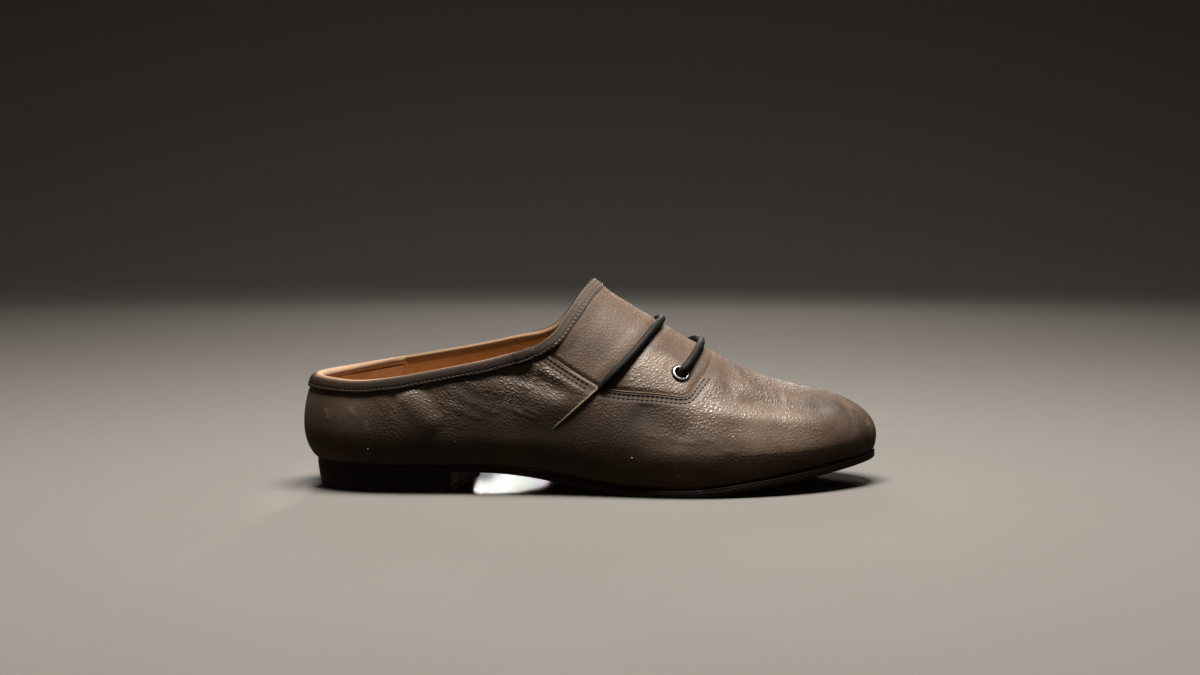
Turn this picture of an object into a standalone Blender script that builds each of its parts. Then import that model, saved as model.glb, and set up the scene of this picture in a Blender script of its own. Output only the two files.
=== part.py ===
"""A low leather dance shoe for the right foot: laced instep panel, bound collar, thin sole, low heel.

The shoe stands on the plane z = 0 with its toe along +X and its lateral (outer) side along -Y.
Sizes are millimetres in the tables and functions; MM turns them into Blender's metres.
"""

import math
from collections import namedtuple

import bmesh
import bpy
import numpy as np
from mathutils import Vector

MM = 0.001
LATERAL, MEDIAL = -1, 1

# Driving dimensions
SHOE_LENGTH = 264.0
SOLE_HEEL, SOLE_TOE = -125.8, 130.4
SOLE_THICKNESS = 3.4
SOLE_MARGIN_HEEL, SOLE_MARGIN_TOE = 0.2, 1.0
INSOLE_THICKNESS = 1.6
INSOLE_INSET = 2.8
WALL = 2.2
PANEL_WALL = 1.5
PANEL_RECESS = 0.8
PANEL_CLEARANCE = 0.6
GAP = 0.3

# Sole seen from the side: flat heel seat, shank falling to a flat tread, toe spring
SEAT_HEIGHT = 9.2
SHANK_START, TREAD_START, TREAD_END = -50.0, 26.0, 44.0
TOE_SPRING, SPRING_POWER, SPRING_REACH = 11.8, 1.1, 1.1

# Heel block: the breast runs further forward on the medial side
HEEL_TAPER = 1.6
BREAST_LATERAL, BREAST_MEDIAL = -63.0, -52.0

# One row for each section of the last, at its share of the length from heel to toe.
# wide_* and sole_* are half widths of the widest line and of the sole line on each side of y = 0;
# wide_z is the height of the widest line, top and ridge the height and y of the crest above it,
# and fullness the power of the arch between them: 0.5 is an ellipse, more is leaner.
Section = namedtuple(
    "Section", "share wide_lateral wide_medial sole_lateral sole_medial wide_z top ridge fullness"
)
SECTIONS = [
    Section(0.000, 0.0, 0.0, 0.0, 0.0, 28.5, 28.5, 0.0, 0.50),
    Section(0.040, 21.5, 21.0, 17.2, 16.8, 28.2, 59.5, 0.0, 0.50),
    Section(0.100, 29.5, 28.6, 24.6, 23.6, 27.6, 72.0, 0.0, 0.50),
    Section(0.180, 32.5, 31.0, 27.2, 25.6, 27.0, 80.0, 0.0, 0.51),
    Section(0.280, 33.4, 30.6, 27.6, 24.2, 26.4, 92.0, 0.2, 0.53),
    Section(0.400, 35.3, 30.6, 28.6, 23.2, 25.6, 104.0, 0.8, 0.57),
    Section(0.520, 39.6, 33.6, 34.6, 28.4, 23.6, 91.3, 1.6, 0.61),
    Section(0.620, 43.0, 38.8, 40.4, 36.2, 20.6, 75.2, 2.8, 0.64),
    Section(0.700, 43.0, 42.4, 41.4, 40.8, 19.0, 62.4, 3.8, 0.66),
    Section(0.780, 39.0, 43.4, 37.6, 41.9, 18.8, 51.4, 5.0, 0.67),
    Section(0.860, 31.2, 39.8, 30.0, 38.4, 19.6, 45.3, 6.0, 0.66),
    Section(0.930, 19.8, 31.8, 18.8, 30.6, 21.0, 40.6, 6.4, 0.60),
    Section(0.975, 8.6, 22.6, 8.0, 21.8, 22.0, 34.2, 6.5, 0.53),
    Section(1.000, -6.5, 6.5, -6.5, 6.5, 22.3, 22.3, 6.5, 0.50),
]
TUCK_ANGLE = math.radians(65)

# Height of the wall's bare edge round the collar, at shares of the length from the heel
Collar = namedtuple("Collar", "share lateral medial")
COLLAR = [
    Collar(0.000, 50.0, 50.0),
    Collar(0.050, 49.2, 51.2),
    Collar(0.105, 49.0, 53.2),
    Collar(0.180, 51.3, 56.4),
    Collar(0.270, 55.7, 60.2),
    Collar(0.345, 60.0, 64.0),
    Collar(0.410, 65.4, 68.2),
]
HEEL_CENTRE = -94.0

# Seams and edges seen from the side, as x with the height of the edge on each side of the foot
Edge = namedtuple("Edge", "x lateral medial")
PANEL_REAR_SEAM = [Edge(-23.8, 65.4, 68.2), Edge(-12.0, 57.4, 58.6), Edge(3.4, 48.2, 49.0)]
PANEL_FRONT_SEAM = [
    Edge(3.4, 48.2, 49.0),
    Edge(15.0, 46.6, 47.2),
    Edge(28.0, 45.6, 46.0),
    Edge(37.5, 44.4, 44.7),
    Edge(41.8, 44.4, 44.6),
    Edge(44.6, 46.8, 47.0),
    Edge(50.4, 53.0, 53.0),
]
PANEL_FRONT_X = 55.5
PANEL_COLLAR = [
    Edge(-23.8, 65.4, 68.2),
    Edge(-16.9, 70.2, 71.4),
    Edge(-11.6, 77.0, 76.8),
    Edge(-6.0, 85.4, 84.8),
    Edge(-1.6, 90.8, 90.4),
]
PANEL_TIP_X = 1.8

# Where the upper's columns meet the sole below the collar's end and below the panel's corner
FOOT_OF_COLLAR = {LATERAL: 0.350, MEDIAL: 0.370}
FOOT_OF_SEAM = {LATERAL: 0.415, MEDIAL: 0.440}

# Side seam: the quarter stands over the vamp by a lift that ramps down in front and fades behind
SEAM_LIFT, SEAM_FADE = 0.8, 0.09
RAMP_FOOT, RAMP_EDGE = 0.008, 0.2

# Shares of the length between which columns are spaced in height rather than in plan, with soft ends
UPRIGHT_SHARES = (0.03, 0.14, 0.55, 0.80)

# Collar binding: a folded strip over the bare edge
BINDING_THICKNESS = 0.8
BINDING_OUTSIDE, BINDING_INSIDE = 4.4, 3.4
FOLD_SHOULDER = 0.3

# Lace and eyelets
LACE_DIAMETER = 3.5
REAR_LACE = [Edge(6.2, 50.3, 50.3), Edge(13.0, 57.0, 57.0), Edge(22.0, 66.3, 66.3), Edge(28.4, 72.8, 72.8)]
REAR_LACE_X = 31.6
FRONT_LACE = [Edge(41.2, 55.0, 55.6), Edge(43.4, 57.6, 60.6), Edge(45.6, 60.2, 63.6), Edge(47.8, 62.6, 64.6)]
FRONT_LACE_X = 49.2
EYELET_X, EYELET_HEIGHT = 39.9, 54.2
EYELET_RADIUS, EYELET_HOLE, EYELET_FLANGE = 4.5, 2.7, 0.7
EYELET_BARREL = 0.5
EYELET_INNER_BEVEL, EYELET_OUTER_BEVEL = (0.4, 0.25), (0.6, 0.5)
PUNCH_DEPTH = 9.0

# Mesh counts
COLLAR_COLUMNS, REAR_SEAM_COLUMNS, FRONT_SEAM_COLUMNS = 14, 4, 18
TUCK_ROWS, WALL_ROWS = 4, 9
PANEL_ROWS = 9
SOLE_STATIONS, SOLE_ACROSS = 34, 5
HEEL_POINTS = 15
ROUND_STEPS = 24
LACE_POINTS, LACE_BEVEL = 25, 2
TIP_POINTS = 25

# Working precision
TINY = 1e-6
SLOPE_STEP = 0.05
HALVINGS = 40
FACE_STEPS = 4
WELD_DISTANCE = 0.005
SHARP_ANGLE = math.radians(40)


class Smooth:
    """A natural cubic spline through table values; values may be numbers or points."""

    def __init__(self, places, values):
        self.places = np.asarray(places, float)
        self.values = np.asarray(values, float)
        span = np.diff(self.places)
        count = len(self.places)
        system = np.eye(count)
        right = np.zeros_like(self.values)
        for i in range(1, count - 1):
            system[i, i - 1 : i + 2] = span[i - 1], 2 * (span[i - 1] + span[i]), span[i]
            after = (self.values[i + 1] - self.values[i]) / span[i]
            before = (self.values[i] - self.values[i - 1]) / span[i - 1]
            right[i] = 6 * (after - before)
        self.bend = np.linalg.solve(system, right)

    def __call__(self, at):
        at = np.clip(np.asarray(at, float), self.places[0], self.places[-1])
        k = np.clip(np.searchsorted(self.places, at) - 1, 0, len(self.places) - 2)
        span = self.places[k + 1] - self.places[k]
        b = (at - self.places[k]) / span
        a = 1 - b
        bow = span * span / 6
        if self.values.ndim > 1:
            a, b, bow = a[..., None], b[..., None], bow[..., None]
        return (
            a * self.values[k]
            + b * self.values[k + 1]
            + bow * ((a**3 - a) * self.bend[k] + (b**3 - b) * self.bend[k + 1])
        )


def turn_of(share):
    """Share of the length as an angle, in which both round ends of the shoe are smooth."""
    return np.arccos(np.clip(1 - 2 * np.asarray(share, float), -1, 1))


def share_of(turn):
    return (1 - np.cos(turn)) / 2


def last_curve(column):
    return Smooth([turn_of(row.share) for row in SECTIONS], [getattr(row, column) for row in SECTIONS])


LAST = {column: last_curve(column) for column in Section._fields[1:]}
COLLAR_HEIGHT = {
    LATERAL: Smooth([turn_of(row.share) for row in COLLAR], [row.lateral for row in COLLAR]),
    MEDIAL: Smooth([turn_of(row.share) for row in COLLAR], [row.medial for row in COLLAR]),
}


def wide_x(share):
    return SHOE_LENGTH * (np.asarray(share, float) - 0.5)


def turn_at(x):
    return turn_of(np.asarray(x, float) / SHOE_LENGTH + 0.5)


def side_of(values_lateral, values_medial, side):
    """Signed y of an edge: lateral half widths lie along -y."""
    return np.where(np.asarray(side) < 0, -values_lateral, values_medial)


def wide_line(share, side):
    """The widest line of the upper in plan."""
    turn = turn_of(share)
    y = side_of(LAST["wide_lateral"](turn), LAST["wide_medial"](turn), side)
    return np.stack([wide_x(share), y], -1)


def sole_line(share, side, margin=0.0):
    """The line where the upper meets the sole in plan, moved out by a margin."""
    turn = turn_of(share)
    lateral, medial = LAST["sole_lateral"](turn), LAST["sole_medial"](turn)
    middle, half = (medial - lateral) / 2, (medial + lateral) / 2
    x_middle, x_half = (SOLE_TOE + SOLE_HEEL) / 2, (SOLE_TOE - SOLE_HEEL) / 2
    x = x_middle - (x_half + margin) * np.cos(turn)
    y = middle + np.asarray(side) * (half + margin * np.sin(turn))
    return np.stack([x, y], -1)


def crown(plan):
    """Height of the upper's outer face above a point in plan, inside the widest line."""
    x, y = plan[..., 0], plan[..., 1]
    turn = turn_at(x)
    ridge = LAST["ridge"](turn)
    side = np.where(y < ridge, LATERAL, MEDIAL)
    reach = np.abs(side_of(LAST["wide_lateral"](turn), LAST["wide_medial"](turn), side) - ridge)
    across = np.clip(np.abs(y - ridge) / np.maximum(reach, TINY), 0, 1)
    low, top = LAST["wide_z"](turn), LAST["top"](turn)
    return low + (top - low) * (1 - across**2) ** LAST["fullness"](turn)


def plan_at(x, height, side):
    """The point in plan where the upper's outer face has this height on one side."""
    turn = turn_at(x)
    ridge = LAST["ridge"](turn)
    low, top = LAST["wide_z"](turn), LAST["top"](turn)
    rise = np.clip((height - low) / np.maximum(top - low, TINY), 0, 1)
    across = np.sqrt(1 - rise ** (1 / LAST["fullness"](turn)))
    reach = side_of(LAST["wide_lateral"](turn), LAST["wide_medial"](turn), side) - ridge
    return np.stack([np.asarray(x, float), ridge + reach * across], -1)


def on_face(plan):
    """Plan points lifted onto the upper's outer face."""
    plan = np.asarray(plan, float)
    return np.concatenate([plan, crown(plan)[..., None]], -1)


def face_normal(point):
    """Outward normal of the upper's outer face above its widest line."""

    def outside(p):
        turn = turn_at(p[0])
        ridge = LAST["ridge"](turn)
        side = LATERAL if p[1] < ridge else MEDIAL
        reach = side_of(LAST["wide_lateral"](turn), LAST["wide_medial"](turn), side) - ridge
        low, top = LAST["wide_z"](turn), LAST["top"](turn)
        rise = max((p[2] - low) / (top - low), 0)
        return ((p[1] - ridge) / reach) ** 2 + rise ** (1 / LAST["fullness"](turn))

    steps = SLOPE_STEP * np.eye(3)
    slope = np.array([outside(point + step) - outside(point - step) for step in steps])
    return slope / np.linalg.norm(slope)


def over_the_foot(rows, crest_x, count):
    """A line over the instep: up the lateral side to the crest at crest_x and down the medial side."""
    crest = np.array([crest_x, LAST["ridge"](turn_at(crest_x))])
    up = [plan_at(row.x, row.lateral, LATERAL) for row in rows]
    down = [plan_at(row.x, row.medial, MEDIAL) for row in reversed(rows)]
    points = np.array([*up, crest, *down])
    places = np.concatenate([[0], np.cumsum(np.linalg.norm(np.diff(on_face(points), axis=0), axis=1))])
    crest_place = places[len(rows)]
    half = (count - 1) // 2
    at = np.concatenate(
        [np.linspace(0, crest_place, half + 1), np.linspace(crest_place, places[-1], half + 1)[1:]]
    )
    return Smooth(places, points)(at)


def collar_line(share, side):
    """The collar's bare edge in plan: where a level line in from the widest line reaches its height."""
    start = wide_line(share, side)
    inner_x = max(float(start[0]), HEEL_CENTRE)
    target = np.array([inner_x, LAST["ridge"](turn_at(inner_x))])
    height = COLLAR_HEIGHT[side](turn_of(share))
    near, far = 0.0, 1.0
    for _ in range(HALVINGS):
        middle = (near + far) / 2
        if crown(start + middle * (target - start)) < height:
            near = middle
        else:
            far = middle
    return start + near * (target - start)


def shares_between(first, last, count):
    return share_of(np.linspace(turn_of(first), turn_of(last), count + 1))


def seam_line(rows, side, count):
    """A seam on one side of the foot in plan."""
    points = np.array([plan_at(row.x, row.lateral if side < 0 else row.medial, side) for row in rows])
    places = np.concatenate([[0], np.cumsum(np.linalg.norm(np.diff(points, axis=0), axis=1))])
    return Smooth(places, points)(np.linspace(0, places[-1], count + 1))


def throat(count):
    """The panel's front edge in plan, from the lateral corner over the crest to the medial corner."""
    return over_the_foot(PANEL_FRONT_SEAM, PANEL_FRONT_X, 2 * count + 1)


def upper_edge(side):
    """(shares along the sole, edge points in plan) of the upper's columns from heel to crest."""
    collar_end = COLLAR[-1].share
    collar = [collar_line(share, side) for share in shares_between(0, collar_end, COLLAR_COLUMNS)]
    rear = seam_line(PANEL_REAR_SEAM, side, REAR_SEAM_COLUMNS)
    front = throat(FRONT_SEAM_COLUMNS)
    front = front[: FRONT_SEAM_COLUMNS + 1] if side < 0 else front[: FRONT_SEAM_COLUMNS - 1 : -1]
    foot = [
        shares_between(0, FOOT_OF_COLLAR[side], COLLAR_COLUMNS),
        shares_between(FOOT_OF_COLLAR[side], FOOT_OF_SEAM[side], REAR_SEAM_COLUMNS)[1:],
        [FOOT_OF_SEAM[side] + RAMP_FOOT],
        shares_between(FOOT_OF_SEAM[side], 1, FRONT_SEAM_COLUMNS)[1:],
    ]
    ramp = front[0] + RAMP_EDGE * (front[1] - front[0])
    edge = [collar, rear[1:], [ramp], front[1:]]
    return np.concatenate(foot), np.concatenate(edge)


def seat(x):
    """Height of the sole's underside along the shoe."""
    x = np.asarray(x, float)
    fall = np.clip((x - SHANK_START) / (TREAD_START - SHANK_START), 0, 1)
    rise = np.clip((x - TREAD_END) / (SOLE_TOE - TREAD_END), 0, SPRING_REACH)
    return SEAT_HEIGHT * (1 - fall * fall * (3 - 2 * fall)) + TOE_SPRING * rise**SPRING_POWER


def upper_column(share, edge, side):
    """Points up one column of the upper: tucked in at the sole, out to the widest line, in to the edge.

    Columns of the steep quarters are spaced in height, those round the heel and over the toe in plan.
    """
    wide, sole = wide_line(share, side), sole_line(share, side)
    wide_z = float(LAST["wide_z"](turn_of(share)))
    foot_z = float(seat(sole[0])) + SOLE_THICKNESS + GAP
    angles = np.linspace(TUCK_ANGLE, 0, TUCK_ROWS + 1)[:-1]
    inward = (1 - np.cos(angles)) / (1 - math.cos(TUCK_ANGLE))
    drop = np.sin(angles) / math.sin(TUCK_ANGLE)
    tuck_plan = wide + inward[:, None] * (sole - wide)
    tuck = np.column_stack([tuck_plan, wide_z - drop * (wide_z - foot_z)])
    rise = np.linspace(0, 1, WALL_ROWS + 1)
    inward = 1 - np.cos(rise * math.pi / 2)
    level = wide + inward[:, None] * (edge - wide)
    edge_z = float(crown(edge))
    upright = plan_at(wide[0] + rise * (edge[0] - wide[0]), wide_z + rise * (edge_z - wide_z), side)
    upright[0], upright[-1] = wide, edge
    flat = float(np.interp(share, UPRIGHT_SHARES, (1, 0, 0, 1)))
    wall = on_face(upright + flat * (level - upright))
    wall[0, 2] = wide_z
    return np.concatenate([tuck, wall])


def seam_lift(share, side):
    """How far the quarter stands over the vamp: a step at the side seam, fading towards the heel."""
    behind = FOOT_OF_SEAM[side] - share
    return SEAM_LIFT * max(0.0, 1 - behind / SEAM_FADE) if behind >= 0 else 0.0


# Blender helpers

PARTS = None
CUTTERS = None


def new_collection(name):
    collection = bpy.data.collections.new(name)
    bpy.context.scene.collection.children.link(collection)
    return collection


def finish_material(name, colour, roughness, metallic=0.0):
    material = bpy.data.materials.new(name)
    material.use_nodes = True
    shader = material.node_tree.nodes["Principled BSDF"]
    shader.inputs["Base Color"].default_value = (*colour, 1.0)
    shader.inputs["Roughness"].default_value = roughness
    shader.inputs["Metallic"].default_value = metallic
    return material


def add_object(name, data, material):
    thing = bpy.data.objects.new(name, data)
    thing.data.materials.append(material)
    PARTS.objects.link(thing)
    return thing


def add_mesh(name, builder, material):
    mesh = bpy.data.meshes.new(name)
    builder.normal_update()
    builder.to_mesh(mesh)
    builder.free()
    mesh.shade_smooth()
    mesh.set_sharp_from_angle(angle=SHARP_ANGLE)
    return add_object(name, mesh, material)


def sheet(points, flip=False):
    """A grid placed through an array of rows by columns of points, welded where its edges meet."""
    rows, columns = points.shape[:2]
    builder = bmesh.new()
    bmesh.ops.create_grid(builder, x_segments=columns - 1, y_segments=rows - 1, size=1.0)
    for vertex in builder.verts:
        column = round((vertex.co.x + 1) / 2 * (columns - 1))
        row = round((vertex.co.y + 1) / 2 * (rows - 1))
        vertex.co = Vector(points[row, column]) * MM
    bmesh.ops.remove_doubles(builder, verts=builder.verts, dist=WELD_DISTANCE * MM)
    bmesh.ops.dissolve_degenerate(builder, dist=WELD_DISTANCE * MM, edges=builder.edges)
    if flip:
        bmesh.ops.reverse_faces(builder, faces=builder.faces)
    builder.normal_update()
    return builder


def solidify(thing, thickness):
    """Gives an open sheet its wall, inwards from the outer face."""
    modifier = thing.modifiers.new("wall", "SOLIDIFY")
    modifier.thickness = thickness * MM
    modifier.offset = -1
    modifier.use_even_offset = True


def build_upper(material):
    columns, lifts = [], []
    for side in (LATERAL, MEDIAL):
        shares, edges = upper_edge(side)
        grid = [upper_column(share, edge, side) for share, edge in zip(shares, edges)]
        lift = [seam_lift(share, side) for share in shares]
        columns += grid if side < 0 else grid[-2::-1]
        lifts += lift if side < 0 else lift[-2::-1]
    points = np.stack(columns, axis=1)
    along = np.gradient(points, axis=1)
    up = np.gradient(points, axis=0)
    normals = np.cross(along, up)
    normals /= np.maximum(np.linalg.norm(normals, axis=-1, keepdims=True), TINY)
    fade = np.sin(np.linspace(0, math.pi, len(points)))
    points = points + normals * fade[:, None, None] * np.array(lifts)[None, :, None]
    upper = add_mesh("upper", sheet(points), material)
    solidify(upper, WALL)


def drawn_in(line, clear):
    """A seam in plan moved a clearance along the face, square to itself, towards its left."""
    points = on_face(line)
    along = np.gradient(points, axis=0)
    inward = np.cross(np.apply_along_axis(face_normal, -1, points), along)
    inward /= np.linalg.norm(inward, axis=-1, keepdims=True)
    return (points + clear * inward)[:, :2]


def build_instep_panel(material):
    seams = {side: seam_line(PANEL_REAR_SEAM, side, REAR_SEAM_COLUMNS) for side in (LATERAL, MEDIAL)}
    front = throat(FRONT_SEAM_COLUMNS)
    bottom = np.concatenate([seams[LATERAL][1:-1], front, seams[MEDIAL][-2:0:-1]])
    collar = over_the_foot(PANEL_COLLAR, PANEL_TIP_X, len(bottom) + 2)
    bottom = drawn_in(bottom, PANEL_CLEARANCE)
    rows = np.linspace(0, 1, PANEL_ROWS + 1)[:, None, None]
    points = on_face(bottom + rows * (collar[1:-1] - bottom))
    points = points - PANEL_RECESS * np.apply_along_axis(face_normal, -1, points)
    panel = add_mesh("instep_panel", sheet(points), material)
    solidify(panel, PANEL_WALL)
    return panel


def collar_loop():
    """The whole bare edge in plan, round the collar and over the panel's tip, as a closed loop."""
    end = COLLAR[-1].share
    shares = shares_between(0, end, COLLAR_COLUMNS)
    lateral = [collar_line(share, LATERAL) for share in shares]
    medial = [collar_line(share, MEDIAL) for share in shares]
    tip = over_the_foot(PANEL_COLLAR, PANEL_TIP_X, TIP_POINTS)
    return np.concatenate([lateral, tip[1:-1], medial[:0:-1]])


def down_the_face(point, direction, distance):
    """The point this far down the outer face from its edge, following the face."""
    for _ in range(FACE_STEPS):
        normal = face_normal(point)
        direction = direction - normal * np.dot(direction, normal)
        direction /= np.linalg.norm(direction)
        point = point + direction * distance / FACE_STEPS
        miss = point[2] - crown(point[:2])
        point = point - normal * miss * normal[2]
    return point


def build_collar_binding(material):
    """A folded strip: an outside leg, the fold over the edge and a shorter inside leg."""
    loop = on_face(collar_loop())
    inside = -WALL - GAP
    fold = GAP + BINDING_THICKNESS
    outer_face, inner_face = fold, inside - BINDING_THICKNESS
    profile = [
        (GAP, BINDING_OUTSIDE),
        (outer_face, BINDING_OUTSIDE),
        (outer_face, -FOLD_SHOULDER * fold),
        (GAP / 2, -fold),
        (inside - GAP / 2, -fold),
        (inner_face, -FOLD_SHOULDER * fold),
        (inner_face, BINDING_INSIDE),
        (inside, BINDING_INSIDE),
        (inside, -GAP),
        (GAP, -GAP),
    ]
    rings = []
    for before, point, after in zip(np.roll(loop, 1, 0), loop, np.roll(loop, -1, 0)):
        along = (after - before) / np.linalg.norm(after - before)
        normal = face_normal(point)
        down = np.cross(along, normal)
        down /= np.linalg.norm(down)
        ring = []
        for out, below in profile:
            base = down_the_face(point, down, below) if below > 0 else point + down * below
            ring.append(base + out * (face_normal(base) if below > 0 else normal))
        rings.append([*ring, ring[0]])
    points = np.stack([*rings, rings[0]], axis=1)
    add_mesh("collar_binding", sheet(points), material)


def plate_grid(inset, margin_heel, margin_toe):
    """Stations by places across of the sole's outline in plan."""
    turns = np.linspace(0, math.pi, SOLE_STATIONS + 1)
    shares = share_of(turns)
    margin = margin_heel + (margin_toe - margin_heel) * shares - inset
    lateral, medial = sole_line(shares, LATERAL, margin), sole_line(shares, MEDIAL, margin)
    across = np.linspace(0, 1, SOLE_ACROSS + 1)
    return lateral[:, None] + across[None, :, None] * (medial - lateral)[:, None]


def build_plate(name, plan, lift, thickness, material):
    """A plate that follows the sole from below: a grid on its underside, extruded straight up."""
    under = np.concatenate([plan, (seat(plan[..., 0]) + lift)[..., None]], -1)
    builder = sheet(under, flip=True)
    top = bmesh.ops.extrude_face_region(builder, geom=builder.faces[:])
    raised = [item for item in top["geom"] if isinstance(item, bmesh.types.BMVert)]
    bmesh.ops.translate(builder, verts=raised, vec=(0, 0, thickness * MM))
    bmesh.ops.recalc_face_normals(builder, faces=builder.faces)
    return add_mesh(name, builder, material)


def heel_outline(inset):
    """Outline of the heel, from the lateral end of the breast round the back to the medial end."""
    outline = []
    for side, breast in ((LATERAL, BREAST_LATERAL), (MEDIAL, BREAST_MEDIAL)):
        share_at_breast = (breast - SOLE_HEEL) / (SOLE_TOE - SOLE_HEEL)
        shares = shares_between(0, share_at_breast, HEEL_POINTS)
        points = sole_line(shares, side, SOLE_MARGIN_HEEL - inset)
        outline.append(points[::-1] if side < 0 else points[1:])
    return np.concatenate(outline)


def build_heel(material):
    builder = bmesh.new()
    loops = []
    for inset, height in ((HEEL_TAPER, 0.0), (0.0, SEAT_HEIGHT - GAP)):
        verts = [builder.verts.new(Vector((x, y, height)) * MM) for x, y in heel_outline(inset)]
        loops.append(builder.faces.new(verts))
    edges = [edge for face in loops for edge in face.edges]
    bmesh.ops.bridge_loops(builder, edges=edges)
    bmesh.ops.recalc_face_normals(builder, faces=builder.faces)
    add_mesh("heel", builder, material)


def build_lace(name, rows, crest_x, lift, material):
    """A bar of round lace over the instep, clear of the leather."""
    path = on_face(over_the_foot(rows, crest_x, LACE_POINTS))
    path = path + lift * np.apply_along_axis(face_normal, -1, path)
    curve = bpy.data.curves.new(name, "CURVE")
    curve.dimensions = "3D"
    curve.bevel_depth = LACE_DIAMETER / 2 * MM
    curve.bevel_resolution = LACE_BEVEL
    curve.use_fill_caps = True
    spline = curve.splines.new("POLY")
    spline.points.add(len(path) - 1)
    for place, point in zip(spline.points, path):
        place.co = (*(point * MM), 1)
    add_object(name, curve, material)


def eyelet_seat(side):
    """(centre on the panel's outer face, outward normal) of an eyelet."""
    point = on_face(plan_at(EYELET_X, EYELET_HEIGHT, side))
    normal = face_normal(point)
    return point - normal * PANEL_RECESS, normal


def place_along(thing, centre, normal):
    thing.location = Vector(centre) * MM
    thing.rotation_mode = "QUATERNION"
    thing.rotation_quaternion = Vector(normal).to_track_quat("Z", "Y")


def build_eyelet(name, side, material):
    """A turned eyelet: a domed flange on the panel and a barrel down through its hole."""
    barrel_outside = EYELET_HOLE + EYELET_BARREL
    flange_low = 2 * GAP
    flange_top = flange_low + EYELET_FLANGE
    inner_width, inner_drop = EYELET_INNER_BEVEL
    outer_width, outer_drop = EYELET_OUTER_BEVEL
    profile = [
        (EYELET_HOLE, flange_top - inner_drop),
        (EYELET_HOLE + inner_width, flange_top),
        (EYELET_RADIUS - outer_width, flange_top),
        (EYELET_RADIUS, flange_top - outer_drop),
        (EYELET_RADIUS, flange_low),
        (barrel_outside, flange_low),
        (barrel_outside, -PANEL_WALL),
        (EYELET_HOLE, -PANEL_WALL),
    ]
    builder = bmesh.new()
    verts = [builder.verts.new(Vector((radius, 0, height)) * MM) for radius, height in profile]
    edges = [builder.edges.new((a, b)) for a, b in zip(verts, verts[1:] + verts[:1])]
    bmesh.ops.spin(
        builder,
        geom=verts + edges,
        axis=(0, 0, 1),
        cent=(0, 0, 0),
        angle=2 * math.pi,
        steps=ROUND_STEPS,
        use_merge=True,
    )
    bmesh.ops.recalc_face_normals(builder, faces=builder.faces)
    place_along(add_mesh(name, builder, material), *eyelet_seat(side))


def cut_eyelet_hole(panel, side):
    """Cuts the panel's hole for an eyelet's barrel."""
    builder = bmesh.new()
    radius = (EYELET_HOLE + EYELET_BARREL + GAP) * MM
    bmesh.ops.create_cone(
        builder, cap_ends=True, segments=ROUND_STEPS, radius1=radius, radius2=radius, depth=PUNCH_DEPTH * MM
    )
    mesh = bpy.data.meshes.new("eyelet_hole")
    builder.to_mesh(mesh)
    builder.free()
    cutter = bpy.data.objects.new("eyelet_hole", mesh)
    cutter.hide_render = True
    cutter.display_type = "WIRE"
    CUTTERS.objects.link(cutter)
    place_along(cutter, *eyelet_seat(side))
    modifier = panel.modifiers.new("eyelet hole", "BOOLEAN")
    modifier.operation = "DIFFERENCE"
    modifier.object = cutter


def clear_scene():
    for thing in list(bpy.data.objects):
        bpy.data.objects.remove(thing)


def main():
    global PARTS, CUTTERS
    clear_scene()
    PARTS = new_collection("dance_shoe")
    CUTTERS = new_collection("cutters")
    leather = finish_material("brown_leather", (0.085, 0.062, 0.048), 0.45)
    binding = finish_material("binding_leather", (0.055, 0.042, 0.034), 0.5)
    sole_leather = finish_material("sole_leather", (0.045, 0.032, 0.025), 0.6)
    heel_leather = finish_material("heel_leather", (0.03, 0.022, 0.018), 0.55)
    lining = finish_material("tan_lining", (0.42, 0.2, 0.08), 0.7)
    cord = finish_material("black_lace", (0.012, 0.012, 0.012), 0.7)
    nickel = finish_material("eyelet_nickel", (0.6, 0.58, 0.54), 0.25, 1.0)

    sole_plan = plate_grid(0.0, SOLE_MARGIN_HEEL, SOLE_MARGIN_TOE)
    build_plate("outsole", sole_plan, 0.0, SOLE_THICKNESS, sole_leather)
    insole_plan = plate_grid(INSOLE_INSET, 0.0, 0.0)
    build_plate("insole", insole_plan, SOLE_THICKNESS + GAP, INSOLE_THICKNESS, lining)
    build_heel(heel_leather)
    build_upper(leather)
    panel = build_instep_panel(leather)
    build_collar_binding(binding)
    clear_of_panel = LACE_DIAMETER / 2 + GAP - PANEL_RECESS
    build_lace("lace_rear", REAR_LACE, REAR_LACE_X, clear_of_panel, cord)
    build_lace("lace_front", FRONT_LACE, FRONT_LACE_X, clear_of_panel + EYELET_FLANGE + 2 * GAP, cord)
    for name, side in (("eyelet_lateral", LATERAL), ("eyelet_medial", MEDIAL)):
        cut_eyelet_hole(panel, side)
        build_eyelet(name, side, nickel)


main()
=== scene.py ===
"""Dresses a laced dance shoe: leathers, lining, stitches, lace, eyelets, sole, heel and a plain stage.

The shoe stands on z = 0 with its toe along +X and its lateral (outer) side along -Y, towards the camera.
Tables and shape functions are in millimetres; MM turns them into Blender's metres.
"""

import math
from collections import namedtuple
from contextlib import contextmanager

import bpy
import numpy as np
from mathutils import Matrix, Vector


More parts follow.
